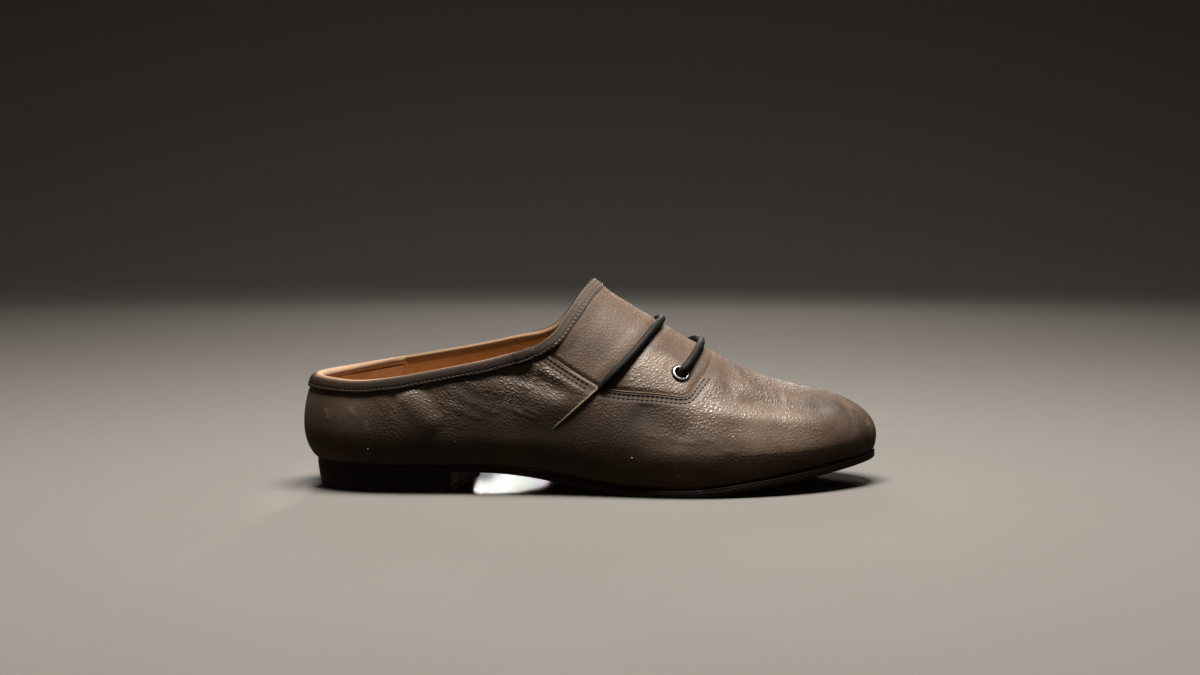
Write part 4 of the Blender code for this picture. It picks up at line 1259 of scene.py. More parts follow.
class SHOE_OT_instep_panel(ShoeOperator, bpy.types.Operator):
    """Soft instep panel that runs under the edges of the throat, with holes for the eyelets."""

    bl_idname = "shoe.instep_panel"
    bl_label = "Instep panel"

    UNDERLAP = 3.2
    CORNER = 2

    # Depth below the face: under the edges, where the throat is closed up, and in the open there
    TUCKED, CLOSED, FLUSH = 1.5, 0.32, 0.04
    CLOSED_Z, CLOSED_X = (50.0, 60.0), (42.0, 52.0)
    DIVE_CLOSED, DIVE_MORE, DIVE_START = 0.3, 2.3, 0.08

    # The tab comes up flush with the binding, away from the seam
    TAB_SUNK, TAB_REACH, TAB_CLEAR = 0.12, (3.0, 11.0), (2.0, 8.0)

    # The rear lace presses a groove and pushes up the leather beside it
    LACE_PRESS, LACE_SPREAD = 0.38, 2.3
    BESIDE_LACE, BESIDE_SPREAD, BESIDE_LIFT, BESIDE_RUB = 5.2, 2.6, 0.22, 0.10

    # Soft swellings seen from the side, and the flat round each eyelet
    Swelling = namedtuple("Swelling", "x z height radius")
    PLUMP, REAR_SWELL = Swelling(25.0, 55.0, 0.75, 9.5), Swelling(-4.0, 68.0, 0.20, 9.0)
    EYELET_FLAT = (5.0, 9.0)

    # Grain: half smooth, pebbled between lace and eyelet, flat along the crest, flowing up the tab
    SMOOTH, PEBBLED_AT, PEBBLED_REACH, CREST_REACH = 0.55, (30.0, 52.0), (9.0, 18.0), (6.0, 16.0)
    FLOW, FLOW_HEIGHT = 0.7, (62.0, 74.0)
    PUNCH_ROOM, PUNCH_DEPTH = 0.6, 12.0

    def make(self, sizes, colours):
        seams = {side: seam_line(PANEL_REAR_SEAM, side, SKIN_COUNTS.rear) for side in BOTH}
        lateral, medial = seams[LATERAL][self.CORNER : -1], seams[MEDIAL][-2 : self.CORNER - 1 : -1]
        bottom = np.concatenate([lateral, throat(SKIN_COUNTS.front), medial])
        collar = tab_edge(len(bottom) + 2 * self.CORNER)[self.CORNER : -self.CORNER]
        hidden = moved_along_face(bottom, -self.UNDERLAP)
        rows = np.linspace(0, 1, PANEL_ROWS + 1)[:, None, None]
        points = on_face(hidden + rows * (collar - hidden))
        flat = points.reshape(-1, 3)
        relief, rub = self.relief(flat)
        shaped = (flat + face_normals(flat) * relief[:, None]).reshape(points.shape)
        smooth = self.smooth(flat)
        marks = {
            "rub": rub,
            "smooth": smooth,
            "flow": self.FLOW * ease(flat[:, 2], *self.FLOW_HEIGHT),
            # the plump part is glossier and painted lighter as a highlight
            "polish_and_highlight": 1 - ease(smooth, 0.0, self.SMOOTH),
        }
        look = {"gloss": (0.50, 0.62), "shine": 0.40, "lean": 1.25, "flat": 0.03}
        leather = pebbled_leather("panel_leather", colours, grain=1.35, pebble=660.0, coat=0.20, **look)
        back = fibrous("panel_lining", colours.lining, colours.lining_stain)
        panel = sheet("instep_panel_leather", shaped, (leather, back, back), sizes.panel, marks)
        for side in BOTH:
            self.punch(panel, side, sizes)
        hand_over(panel, "upper_leather", "instep_panel")

    def relief(self, points):
        """(height over the face, wear): sunk in the throat, pressed by the rear lace, plump before it."""
        seam = throat_distance(points)
        inside = self.inside(points)
        shows = 1 - ease(points[:, 2], *self.CLOSED_Z) * ease(points[:, 0], *self.CLOSED_X)
        recess = self.FLUSH + (PANEL_RECESS - self.FLUSH) * shows
        tucked = self.CLOSED + (self.TUCKED - self.CLOSED) * shows
        dive = seam / (self.DIVE_CLOSED + self.DIVE_MORE * shows)
        sunk = recess + (tucked - recess) * (1 - ease(dive, self.DIVE_START, 1.0))
        relief = -np.where(inside, sunk, tucked)
        collar, _ = along_line(points, on_face(tab_edge(COARSE_TAB)))
        raised = (1 - ease(collar, *self.TAB_REACH)) * ease(seam, *self.TAB_CLEAR)
        relief += (PANEL_RECESS - self.TAB_SUNK) * raised
        lace, _ = along_line(points, on_face(over_the_foot(REAR_LACE, REAR_LACE_X, 41)))
        beside = bell(lace - self.BESIDE_LACE, self.BESIDE_SPREAD)
        relief += self.BESIDE_LIFT * beside - self.LACE_PRESS * bell(lace, self.LACE_SPREAD)
        for side in BOTH:
            for swelling, where in ((self.PLUMP, inside), (self.REAR_SWELL, 1.0)):
                away = far_from(points, side_point(swelling.x, swelling.z, side))
                relief += swelling.height * bell(away, swelling.radius) * where
            kept = ease(far_from(points, side_point(EYELET_X, EYELET_HEIGHT, side)), *self.EYELET_FLAT)
            relief = relief * kept - PANEL_RECESS * (1 - kept)
        return relief, self.BESIDE_RUB * beside

    def smooth(self, points):
        """1 where the grain is pulled flat, 0 on the plump part between the rear lace and the eyelet."""
        smooth = np.full(len(points), self.SMOOTH)
        for side in BOTH:
            away = far_from(points, side_point(*self.PEBBLED_AT, side))
            smooth -= self.SMOOTH * (1 - ease(away, *self.PEBBLED_REACH))
        from_ridge = np.abs(points[:, 1] - LAST["ridge"](turn_at(points[:, 0])))
        return np.clip(np.maximum(smooth, 1 - ease(from_ridge, *self.CREST_REACH)), 0, 1)

    @staticmethod
    def inside(points):
        """True where a point lies within the throat, seen from above."""
        outline = np.concatenate([throat_lines()[:, :2], tab_edge(COARSE_TAB)[::-1]])
        x, y = points[:, 0], points[:, 1]
        within = np.zeros(len(points), bool)
        for (ax, ay), (bx, by) in zip(outline, np.roll(outline, -1, 0)):
            crosses = (ay > y) != (by > y)
            at = ax + (y - ay) / (by - ay if by != ay else 1e-9) * (bx - ax)
            within ^= crosses & (x < at)
        return within

    def punch(self, panel, side, sizes):
        """Cuts the round hole for an eyelet's barrel."""
        centre, normal = eyelet_seat(side)
        hole = {"radius": sizes.eyelet_hole + self.PUNCH_ROOM * MM, "depth": self.PUNCH_DEPTH * MM}
        cutter = started("eyelet_punch", bpy.ops.mesh.primitive_cylinder_add, vertices=48, **hole)
        cutter.data.transform(stand(centre, np.cross(normal, (0, 0, 1)), normal))
        modify(panel, "BOOLEAN", operation="DIFFERENCE", object=cutter, solver="EXACT")
        bpy.data.objects.remove(cutter)


def eyelet_seat(side):
    """(centre on the panel's outer face, outward normal) of an eyelet."""
    point = on_face(plan_at(EYELET_X, EYELET_HEIGHT, side))
    normal = face_normals(point)
    return point - normal * PANEL_RECESS, normal


def loop_frame(loop):
    """(directions down the face, outward normals) round a closed loop on the outer face."""
    along = unit(np.roll(loop, -1, 0) - np.roll(loop, 1, 0))
    normals = face_normals(loop)
    return unit(np.cross(along, normals)), normals


def loop_rings(loop, profile, stretch):
    """Rings of points round a loop; a profile point is (out from the face, down from the bare edge).

    stretch gives each profile point its own reach at every station of the loop.
    """
    down, normals = loop_frame(loop)
    rings = []
    for out, below in profile:
        outward, reach = (np.broadcast_to(value, len(loop))[:, None] for value in stretch(out, below))
        if below > 0:
            base = down_the_face(loop, down, reach)
            rings.append(base + outward * face_normals(base))
        else:
            rings.append(loop + down * reach + normals * outward)
    return np.stack(rings, axis=1)


# The binding's strip: clearance over the leather, stitch row below the edge, and its thin run on the tab
STRIP_CLEAR = 0.3
BINDING_STITCH = 3.45
TAB_THICKNESS = 0.45
TAB_FROM = -16.0
TAB_CHANGE = (-25.0, -13.0)


def on_tab(loop):
    """0 on the collar and 1 on the instep's tab, where the binding is thinner."""
    return ease(loop[:, 0], *TAB_CHANGE)


class SHOE_OT_binding(ShoeOperator, bpy.types.Operator):
    """Folded binding strip round the collar and tab, with a lapped joint near the rear seam."""

    bl_idname = "shoe.binding"
    bl_label = "Collar binding"

    PROFILE = [
        (0.30, 4.45), (0.85, 4.50), (1.08, 4.30), (1.16, 3.95), (1.06, 3.66), (0.92, 3.45), (1.06, 3.22),
        (1.20, 2.85), (1.27, 2.1), (1.26, 1.2), (1.18, 0.35), (1.06, -0.25), (0.82, -0.72), (0.40, -1.06),
        (-0.20, -1.20), (-0.90, -1.22), (-1.0, -0.8), (-0.2, -0.6), (0.22, -0.32), (0.30, 0.4), (0.30, 2.4),
    ]
    # The lapped joint: where it lies, how far it reaches back, how soon it rises and by how much
    JOINT_AT, JOINT_REACH, JOINT_RISE, JOINT_LIFT, JOINT_DROP = (-27.0, 63.0), 6.0, 2.5, 0.45, 0.25
    TAB_PRESS, TAB_PRESS_DEPTHS = 0.36, (1.5, 3.6)
    FOOT_WAVER = 1.5
    # The tab's paler tone, the painted shade along the lower edge with the depths where it lies, and the rub
    # on the fold
    TAB_TONE, FOOT_GRIME, FOOT_DEPTHS, FOLD_RUB = 0.9, 0.95, (4.0, 4.35), 0.35

    def make(self, sizes, colours):
        loop = collar_loop(LOOP_STATIONS)
        places = arc_places(np.concatenate([loop, loop[:1]]))[:-1]
        joint = places[np.argmin(far_from(loop, side_point(*self.JOINT_AT, LATERAL)))]
        back = joint - self.JOINT_REACH
        lapped = ease(places, back - self.JOINT_RISE, back) * (places < joint)
        wavy = 0.05 * np.sin(places / 7.3) + 0.03 * np.sin(places / 2.9 + 1.0)
        tab = on_tab(loop)
        thin = 1 - (1 - TAB_THICKNESS) * tab

        def stretch(out, below):
            outer = STRIP_CLEAR + (out - STRIP_CLEAR) * (thin if below > 0.3 else 1.0)
            outer = outer - self.TAB_PRESS * tab * ease(below, *self.TAB_PRESS_DEPTHS)
            outer = outer + self.JOINT_LIFT * lapped * (out > 0.5) + wavy * (out > 0.7)
            return outer, below + (self.JOINT_DROP * lapped + self.FOOT_WAVER * wavy) * (below > 3.8)

        rings = loop_rings(loop, self.PROFILE, stretch)
        depths = np.array([below for _, below in (*self.PROFILE, self.PROFILE[0])])
        tab = np.append(tab, tab[0])[:, None]
        marks = {
            # painted shade under the binding's lower edge, off the tab
            "grime_and_shade": self.FOOT_GRIME * ease(depths, *self.FOOT_DEPTHS) * (1 - tab),
            "rub": self.FOLD_RUB * bell(depths + 0.6, 0.5) * (1 - tab),
            "bare": np.broadcast_to(self.TAB_TONE * tab, (len(tab), len(depths))),
        }
        binding = swept("collar_binding_strip", rings, True, marks)
        tints = BindingTints(colours)
        leather = pebbled_leather(
            "binding_leather", tints, grain=0.55, pebble=1300.0, coat=0.0, gloss=(0.55, 0.68), shine=0.16
        )
        dress(binding, [leather])
        hand_over(binding, "binding_leather", "collar_binding", angle=70)


class BindingTints:
    """The binding's tints: dark brown on the collar, and as its bare tone the paler strip of the tab."""

    def __init__(self, colours):
        self.leather = tuple(colours.binding)
        self.leather_deep_and_shade = scaled(colours.binding, 0.62)
        self.leather_worn_and_highlight = tuple(colours.leather)
        # the grime tint also paints the shade under the binding's lower edge
        self.grime_and_shade = colours.grime_and_shade
        self.cut_edge = scaled(colours.leather_worn_and_highlight, 0.30)


# Where the heel's lining piece ends on each side
HEEL_PIECE_X = {LATERAL: -84.0, MEDIAL: -88.0}


class SHOE_OT_collar_edge(ShoeOperator, bpy.types.Operator):
    """Cream rolled edge that stands above the binding and the tan band inside it."""

    bl_idname = "shoe.collar_edge"
    bl_label = "Collar edge"

    ROLL = [
        (-0.55, 1.0), (-0.50, -1.0), (-0.55, -1.9), (-0.80, -2.45), (-1.25, -2.70), (-1.75, -2.60),
        (-2.15, -2.20), (-2.35, -1.6), (-2.40, -0.6), (-2.35, 1.0),
    ]
    BAND = [
        (-2.30, -1.35), (-2.62, -1.60), (-3.00, -1.40), (-3.14, -0.9), (-3.18, 0.6), (-3.12, 1.9),
        (-2.95, 2.55), (-2.60, 2.7), (-2.30, 2.4), (-2.25, 0.6),
    ]
    # The roll spreads inwards at the heel and sinks behind the binding further forward
    HEEL_X, AHEAD_X = (-124.0, -84.0), (-40.0, -20.0)
    ROLL_FACE, ROLL_SINK, AHEAD_SINK, HEEL_RISE, BAND_SINK = 0.5, 1.05, 0.70, 0.90, 1.1

    def make(self, sizes, colours):
        loop = collar_loop(LOOP_STATIONS)
        at_heel = 1 - ease(loop[:, 0], *self.HEEL_X)
        ahead = ease(loop[:, 0], *self.AHEAD_X)
        ends = np.where(loop[:, 1] < 0, HEEL_PIECE_X[LATERAL], HEEL_PIECE_X[MEDIAL])

        def spread(out, below):
            sink = self.ROLL_SINK + self.AHEAD_SINK * ahead - self.HEEL_RISE * at_heel
            return out + at_heel * (out < -1.0) * (out + self.ROLL_FACE), below + sink * (below < -1.2)

        def hide(out, below):
            return out, below + self.BAND_SINK * ahead * (below < -0.5)

        roll = swept("collar_edge_roll", loop_rings(loop, self.ROLL, spread), True)
        cream = two_tone("cream_edge", colours.collar_edge, 1.0, 0.72, 2200.0)
        tan = fibrous("tan_edge", scaled(colours.collar_edge, 0.7), scaled(colours.lining, 0.35), 2200.0)
        dress(roll, [cream, tan])
        for polygon in roll.data.polygons:
            end = HEEL_PIECE_X[LATERAL if polygon.center.y < 0 else MEDIAL]
            polygon.material_index = 1 if polygon.center.x > end * MM else 0
        hand_over(roll, "lining_leather", angle=80)

        band = loop_rings(loop, self.BAND, hide)[loop[:, 0] > ends]
        tan = fibrous("tan_band", scaled(colours.lining, 0.38), scaled(colours.lining_stain, 0.6), 1800.0)
        tube("collar_inner_band", band, tan, "lining_leather")


class SHOE_OT_lining(ShoeOperator, bpy.types.Operator):
    """Tan lining inside the upper, a suede heel piece over it and a sock on the insole."""

    bl_idname = "shoe.lining"
    bl_label = "Lining and sock"

    LINING_GAP = 0.12
    HEEL_PIECE_DROP, HEEL_PIECE_GAP, HEEL_PIECE_WALL = 2.4, 0.22, 0.7
    SOCK_EDGE = [
        (1.2, -INSOLE_THICKNESS), (0.25, -INSOLE_THICKNESS), (0.0, -1.2),
        (0.0, -0.4), (0.2, -0.08), (0.8, 0.0),
    ]

    def make(self, sizes, colours):
        points, normals, quarter = skin_grid(LINING_COUNTS)
        relief, _ = skin_relief(points.reshape(-1, 3), np.broadcast_to(quarter, points.shape[:2]).ravel())
        inward = sizes.skin / MM + self.LINING_GAP - np.minimum(relief, 0.0)
        inside = points - normals * inward.reshape(points.shape[:2])[..., None]
        tan = fibrous("tan_lining", colours.lining, colours.lining_stain, 1300.0)
        lining = sheet("lining_leather", inside, (tan, tan, tan), sizes.lining)
        hand_over(lining, "lining_leather")
        self.heel_piece(points, normals, sizes, colours)
        self.sock(colours)

    def heel_piece(self, points, normals, sizes, colours):
        """Suede round the inside of the heel, lower than the collar's edge, with two upright ends."""
        edge = points[-1, :, 0]
        half = points.shape[1] // 2
        lateral = np.nonzero(edge[:half] < HEEL_PIECE_X[LATERAL])[0]
        medial = np.nonzero(edge[half:] < HEEL_PIECE_X[MEDIAL])[0] + half
        columns = np.concatenate([medial, lateral[1:]])
        depth = (sizes.skin + sizes.lining) / MM + self.HEEL_PIECE_GAP
        patch = (points - normals * depth)[LINING_COUNTS.tuck :, columns]
        height = patch[-1, :, 2] - patch[0, :, 2]
        kept = 1 - self.HEEL_PIECE_DROP / height
        rise = np.linspace(0, 1, len(patch))
        fitted = [between(rise * share, rise, patch[:, column]) for column, share in enumerate(kept)]
        pink, stain = colours.heel_lining, colours.lining_stain
        suede = fibrous("heel_suede", pink, stain, 1700.0, (0.8, 0.95), depth=0.2, stain=0.75)
        pale = fibrous("heel_suede_edge", colours.collar_edge, pink, 2200.0)
        thickness = self.HEEL_PIECE_WALL * MM
        piece = sheet("heel_lining", np.stack(fitted, axis=1), (suede, suede, pale), thickness)
        hand_over(piece, "lining_leather")

    def sock(self, colours):
        """Leather sock in place of the plain insole board."""
        lift = SOLE_THICKNESS + GAP + INSOLE_THICKNESS
        sock = plate("insole_sock", lift, self.SOCK_EDGE, lambda shares: np.full(len(shares), -INSOLE_INSET))
        stain = scaled(colours.lining_stain, 0.7)
        dress(sock, [fibrous("sock_leather", colours.lining, stain, 1300.0, (0.5, 0.75), 0.1, 0.8)])
        hand_over(sock, "lining_leather", "insole")


def plate(name, lift, edge_rows, margin, under_rows=(), inner=7):
    """A plate that follows the sole: rows over its underside, round its edge and back over its top.

    An edge row is (inset from the outline, height over the plate's top or underside level).
    """
    shares = share_of(np.linspace(0, math.pi, SOLE_STATIONS + 1))
    shares = np.concatenate([shares, shares[-2::-1]])
    sides = np.concatenate([np.full(SOLE_STATIONS + 1, LATERAL), np.full(SOLE_STATIONS, MEDIAL)])

    def at_inset(inset):
        return sole_line(shares, sides, margin(shares) - inset)

    def inner_rows(inset, height):
        """Rows from the middle line out towards an inset outline."""
        ring = at_inset(inset)
        middle = (ring + ring[::-1]) / 2
        steps = np.linspace(0, 1, inner, endpoint=False)
        return [(middle + share * (ring - middle), height) for share in steps]

    all_rows = (*under_rows, *edge_rows)
    rows = inner_rows(all_rows[0][0], edge_rows[0][1])
    rows += [(at_inset(inset), height) for inset, height in all_rows]
    rows += inner_rows(*edge_rows[-1])[::-1]
    points = [np.column_stack([plan, seat(plan[:, 0]) + lift + height]) for plan, height in rows]
    piece = grid_piece(name, np.stack(points))
    weld(piece, outward=True)
    return piece


def sole_margin(shares):
    """How far the sole stands out past the upper along its length."""
    return SOLE_MARGIN_HEEL + (SOLE_MARGIN_TOE - SOLE_MARGIN_HEEL) * shares


class SHOE_OT_outsole(ShoeOperator, bpy.types.Operator):
    """Thin leather sole with a rounded, grooved edge and a stitch channel underneath."""

    bl_idname = "shoe.outsole"
    bl_label = "Outsole"

    EDGE = [
        (1.1, 0.0), (0.55, 0.04), (0.22, 0.18), (0.05, 0.5), (0.0, 0.95), (0.02, 1.9), (0.03, 2.25),
        (0.24, 2.42), (0.24, 2.52), (0.02, 2.70), (0.0, 2.95), (0.10, 3.22), (0.35, 3.36),
        (0.9, SOLE_THICKNESS),
    ]
    CHANNEL = [(6.6, 0.0), (6.2, 0.04), (5.9, 0.30), (5.5, 0.30), (5.2, 0.04), (4.8, 0.0)]

    def make(self, sizes, colours):
        sole = plate("outsole_leather", 0.0, self.EDGE, sole_margin, self.CHANNEL)
        edge = waxed_leather("sole_edge", colours.sole, colours.sole_worn)
        brown = scaled(colours.sole, 1.3)
        walked = waxed_leather(
            "sole_underside", brown, colours.sole_worn, underside=True, roughness=(0.5, 0.75)
        )
        dress(sole, (edge, walked))
        for polygon in sole.data.polygons:
            polygon.material_index = 1 if polygon.normal.z < -0.8 else 0
        hand_over(sole, "sole_leather", "outsole", angle=40)


class SHOE_OT_heel(ShoeOperator, bpy.types.Operator):
    """Low stacked heel with lifts and a top piece, hollowed a little at the breast."""

    bl_idname = "shoe.heel"
    bl_label = "Heel"

    LIFTS = (2.6, 5.9)
    POINTS, BREAST_POINTS = 60, 26
    BREAST_LEAN, HOLLOW, SOFTENINGS = 0.6, 0.9, 3
    TOP = SEAT_HEIGHT - 0.02

    # Steps of the side as (inset, height): at the floor, about each joint between lifts, and below the top
    FOOT = [(HEEL_TAPER + 0.55, 0.0), (HEEL_TAPER + 0.2, 0.06), (HEEL_TAPER + 0.02, 0.3)]
    JOINT = [(0.0, -0.22), (0.16, -0.06), (0.16, 0.06), (0.0, 0.22)]
    HEAD = [(0.12, -0.25), (0.3, 0.0)]
    BASE_SHARES, LID_SHARES = (0.0, 0.35, 0.7, 0.93), (0.7, 0.35, 0.0)
    BAND = 3.3

    def outline(self, inset):
        """Closed outline of the heel: round the back and straight across the breast."""
        sides = []
        for side, breast in ((LATERAL, BREAST_LATERAL), (MEDIAL, BREAST_MEDIAL)):
            share = (breast - inset * self.BREAST_LEAN - SOLE_HEEL) / (SOLE_TOE - SOLE_HEEL)
            points = sole_line(shares_between(0, share, self.POINTS), side, SOLE_MARGIN_HEEL - inset)
            sides.append(points[::-1] if side < 0 else points[1:])
        back = np.concatenate(sides)
        across = np.linspace(0, 1, self.BREAST_POINTS + 2)[1:-1, None]
        hollow = np.column_stack([-self.HOLLOW * np.sin(across * math.pi), np.zeros(self.BREAST_POINTS)])
        ring = np.concatenate([back, back[-1] + across * (back[0] - back[-1]) + hollow])
        for _ in range(self.SOFTENINGS):
            ring = (np.roll(ring, 1, 0) + 2 * ring + np.roll(ring, -1, 0)) / 4
        return ring

    def make(self, sizes, colours):
        levels = list(self.FOOT)
        for joint in self.LIFTS:
            inset = HEEL_TAPER * (1 - joint / self.TOP)
            levels += [(inset + depth, joint + rise) for depth, rise in self.JOINT]
        levels += [(inset, self.TOP + rise) for inset, rise in self.HEAD]
        base, lid = self.outline(levels[0][0]), self.outline(levels[-1][0])
        centre = base.mean(0)
        rings = [(centre + share * (base - centre), 0.0) for share in self.BASE_SHARES]
        rings += [(self.outline(inset), height) for inset, height in levels]
        rings += [(centre + share * (lid - centre), self.TOP) for share in self.LID_SHARES]
        rows = [np.column_stack([ring, np.full(len(ring), height)]) for ring, height in rings]
        heel = swept("heel_block", np.stack(rows), False)
        stack = waxed_leather("heel_stack", colours.heel, scaled(colours.heel, 1.9), self.BAND)
        dark, worn = scaled(colours.heel, 0.8), scaled(colours.heel, 2.4)
        tread = waxed_leather("heel_top_piece", dark, worn, underside=True, roughness=(0.6, 0.85))
        dress(heel, (stack, tread))
        for polygon in heel.data.polygons:
            polygon.material_index = 1 if polygon.center.z < self.LIFTS[0] * MM else 0
        hand_over(heel, "heel_leather", "heel", angle=40)


class SHOE_OT_laces(ShoeOperator, bpy.types.Operator):
    """Two bars of round braided lace: one under the panel's rear corners, one through the eyelets."""

    bl_idname = "shoe.laces"
    bl_label = "Laces"

    STRANDS, BRAID_PITCH, BRAID_DEPTH, BRAID_LEVEL = 8, 5.2, 0.13, 0.9
    THIN_END, REAR_DRAWN, FRONT_DRAWN = 0.35, 5.0, 0.8
    REAR_PRESS, FRONT_RISE = 0.25, 0.35
    LIP_DEPTH, END_DEPTH = 0.35, 1.5

    # The front bar's ends: depths in the eyelet, height over it and the lean that they come out with
    HOLE_DEPTHS, HOLE_RISE, HOLE_LEAN, HOLE_CLEAR = (2.1, 1.0), 0.9, (0.3, 0.0, 0.3), 3

    def make(self, sizes, colours):
        cord = cord_fibre("lace_cord", colours.lace)
        radius = sizes.lace / 2 / MM
        rest = radius + GAP - PANEL_RECESS
        for bar, path, drawn in (
            ("lace_rear", self.rear_path(rest), self.REAR_DRAWN),
            ("lace_front", self.front_path(rest), self.FRONT_DRAWN),
        ):
            tube(f"{bar}_cord", self.braid(path, radius, drawn), cord, "lace_cord", bar)

    @staticmethod
    def over_face(rows, crest_x, lift):
        line = on_face(over_the_foot(rows, crest_x, 31))
        return line + lift * face_normals(line)

    def rear_path(self, rest):
        """Over the panel, then in at its rear corners and under the quarters."""
        line = self.over_face(REAR_LACE, REAR_LACE_X, rest - self.REAR_PRESS)
        ends = []
        for side in BOTH:
            end, lip = side_point(*REAR_LACE_END, side), side_point(*REAR_LACE_LIP, side)
            end = end - self.END_DEPTH * face_normals(end)
            ends.append([end, lip - self.LIP_DEPTH * face_normals(lip)])
        return np.concatenate([ends[0], line[1:-1], ends[1][::-1]])

    def front_path(self, rest):
        """Up out of one eyelet, over the panel and down into the other."""
        line = self.over_face(FRONT_LACE, FRONT_LACE_X, rest + self.FRONT_RISE)
        ends = []
        for side in BOTH:
            hole, normal = eyelet_seat(side)
            below = [hole - depth * normal for depth in self.HOLE_DEPTHS]
            ends.append([*below, hole + self.HOLE_LEAN + self.HOLE_RISE * normal])
        return np.concatenate([ends[0], line[self.HOLE_CLEAR : -self.HOLE_CLEAR], ends[1][::-1]])

    def braid(self, path, radius, drawn):
        """Rings round a path with two families of raised strands crossing, drawn thin at both ends."""
        centre = smooth_route(path, LACE_STATIONS)
        places = arc_places(centre)[:, None]
        angle = np.linspace(0, 2 * math.pi, LACE_ROUND, endpoint=False)
        twist = 2 * math.pi * places / self.BRAID_PITCH
        left, right = (np.abs(np.cos(self.STRANDS / 2 * angle + way * twist)) for way in (1, -1))
        thin = self.THIN_END + (1 - self.THIN_END) * ease(np.minimum(places, places[-1] - places), 0.0, drawn)
        swell = radius + self.BRAID_DEPTH * (np.maximum(left, right) - self.BRAID_LEVEL)
        return rings_along(centre, swell * thin, LACE_ROUND)


class SHOE_OT_eyelets(ShoeOperator, bpy.types.Operator):
    """Turned nickel eyelets with a black rim and, in each hole, a black cup as painted shade."""

    bl_idname = "shoe.eyelets"
    bl_label = "Eyelets"

    # Turned profiles as (radius, height over the panel): nickel ring, black rim round it, and a black barrel
    # closed at its foot as painted shade inside the hole
    RING = [
        (2.70, -1.6), (2.70, 0.15), (2.78, 0.42), (2.98, 0.62),
        (3.28, 0.70), (3.58, 0.62), (3.74, 0.40), (3.78, 0.05),
    ]
    RIM = [(3.66, 0.05), (3.70, 0.42), (3.84, 0.56), (4.12, 0.50), (4.38, 0.30), (4.50, 0.02), (4.50, -0.20)]
    HOLE_SHADE_CUP = [(0.02, -2.3), (2.50, -2.3), (2.66, -2.0), (2.66, -0.2)]
    TURN_POINTS, WALL = 64, 0.15

    def make(self, sizes, colours):
        nickel = turned_metal("eyelet_nickel", colours.nickel, scaled(colours.nickel, 0.72))
        # one black finish for the real rim and for the painted shade in the hole
        black_and_hole_shade = cord_fibre("eyelet_rim_black_and_hole_shade", scaled(colours.lace, 0.7))
        for side, name in SIDE_NAMES.items():
            ring = self.turned(f"eyelet_ring_{name}", self.RING, side)
            dress(ring, [nickel])
            hand_over(ring, "eyelet_metal", f"eyelet_{name}", angle=60)
            for part, profile in (("rim", self.RIM), ("throat", self.HOLE_SHADE_CUP)):
                piece = self.turned(f"eyelet_{part}_{name}", profile, side)
                dress(piece, [black_and_hole_shade])
                hand_over(piece, "eyelet_metal", angle=60)

    def turned(self, name, profile, side):
        """A circle extruded ring by ring along a turned profile, given a thin wall and set on its seat."""
        radius, height = profile[0]
        circle = {"vertices": self.TURN_POINTS, "radius": radius * MM, "fill_type": "NOTHING"}
        piece = started(name, bpy.ops.mesh.primitive_circle_add, **circle)
        with editing(piece):
            bpy.ops.transform.translate(value=(0, 0, height * MM))
            for (before, low), (after, high) in zip(profile, profile[1:]):
                bpy.ops.mesh.extrude_edges_move(TRANSFORM_OT_translate={"value": (0, 0, (high - low) * MM)})
                bpy.ops.transform.resize(value=(after / before, after / before, 1))
        if sum(polygon.normal.z * polygon.area for polygon in piece.data.polygons) < 0:
            piece.data.flip_normals()
        modify(piece, "SOLIDIFY", thickness=self.WALL * MM, offset=-1.0)
        centre, normal = eyelet_seat(side)
        piece.data.transform(stand(centre, np.cross(normal, (0, 0, 1)), normal))
        return piece


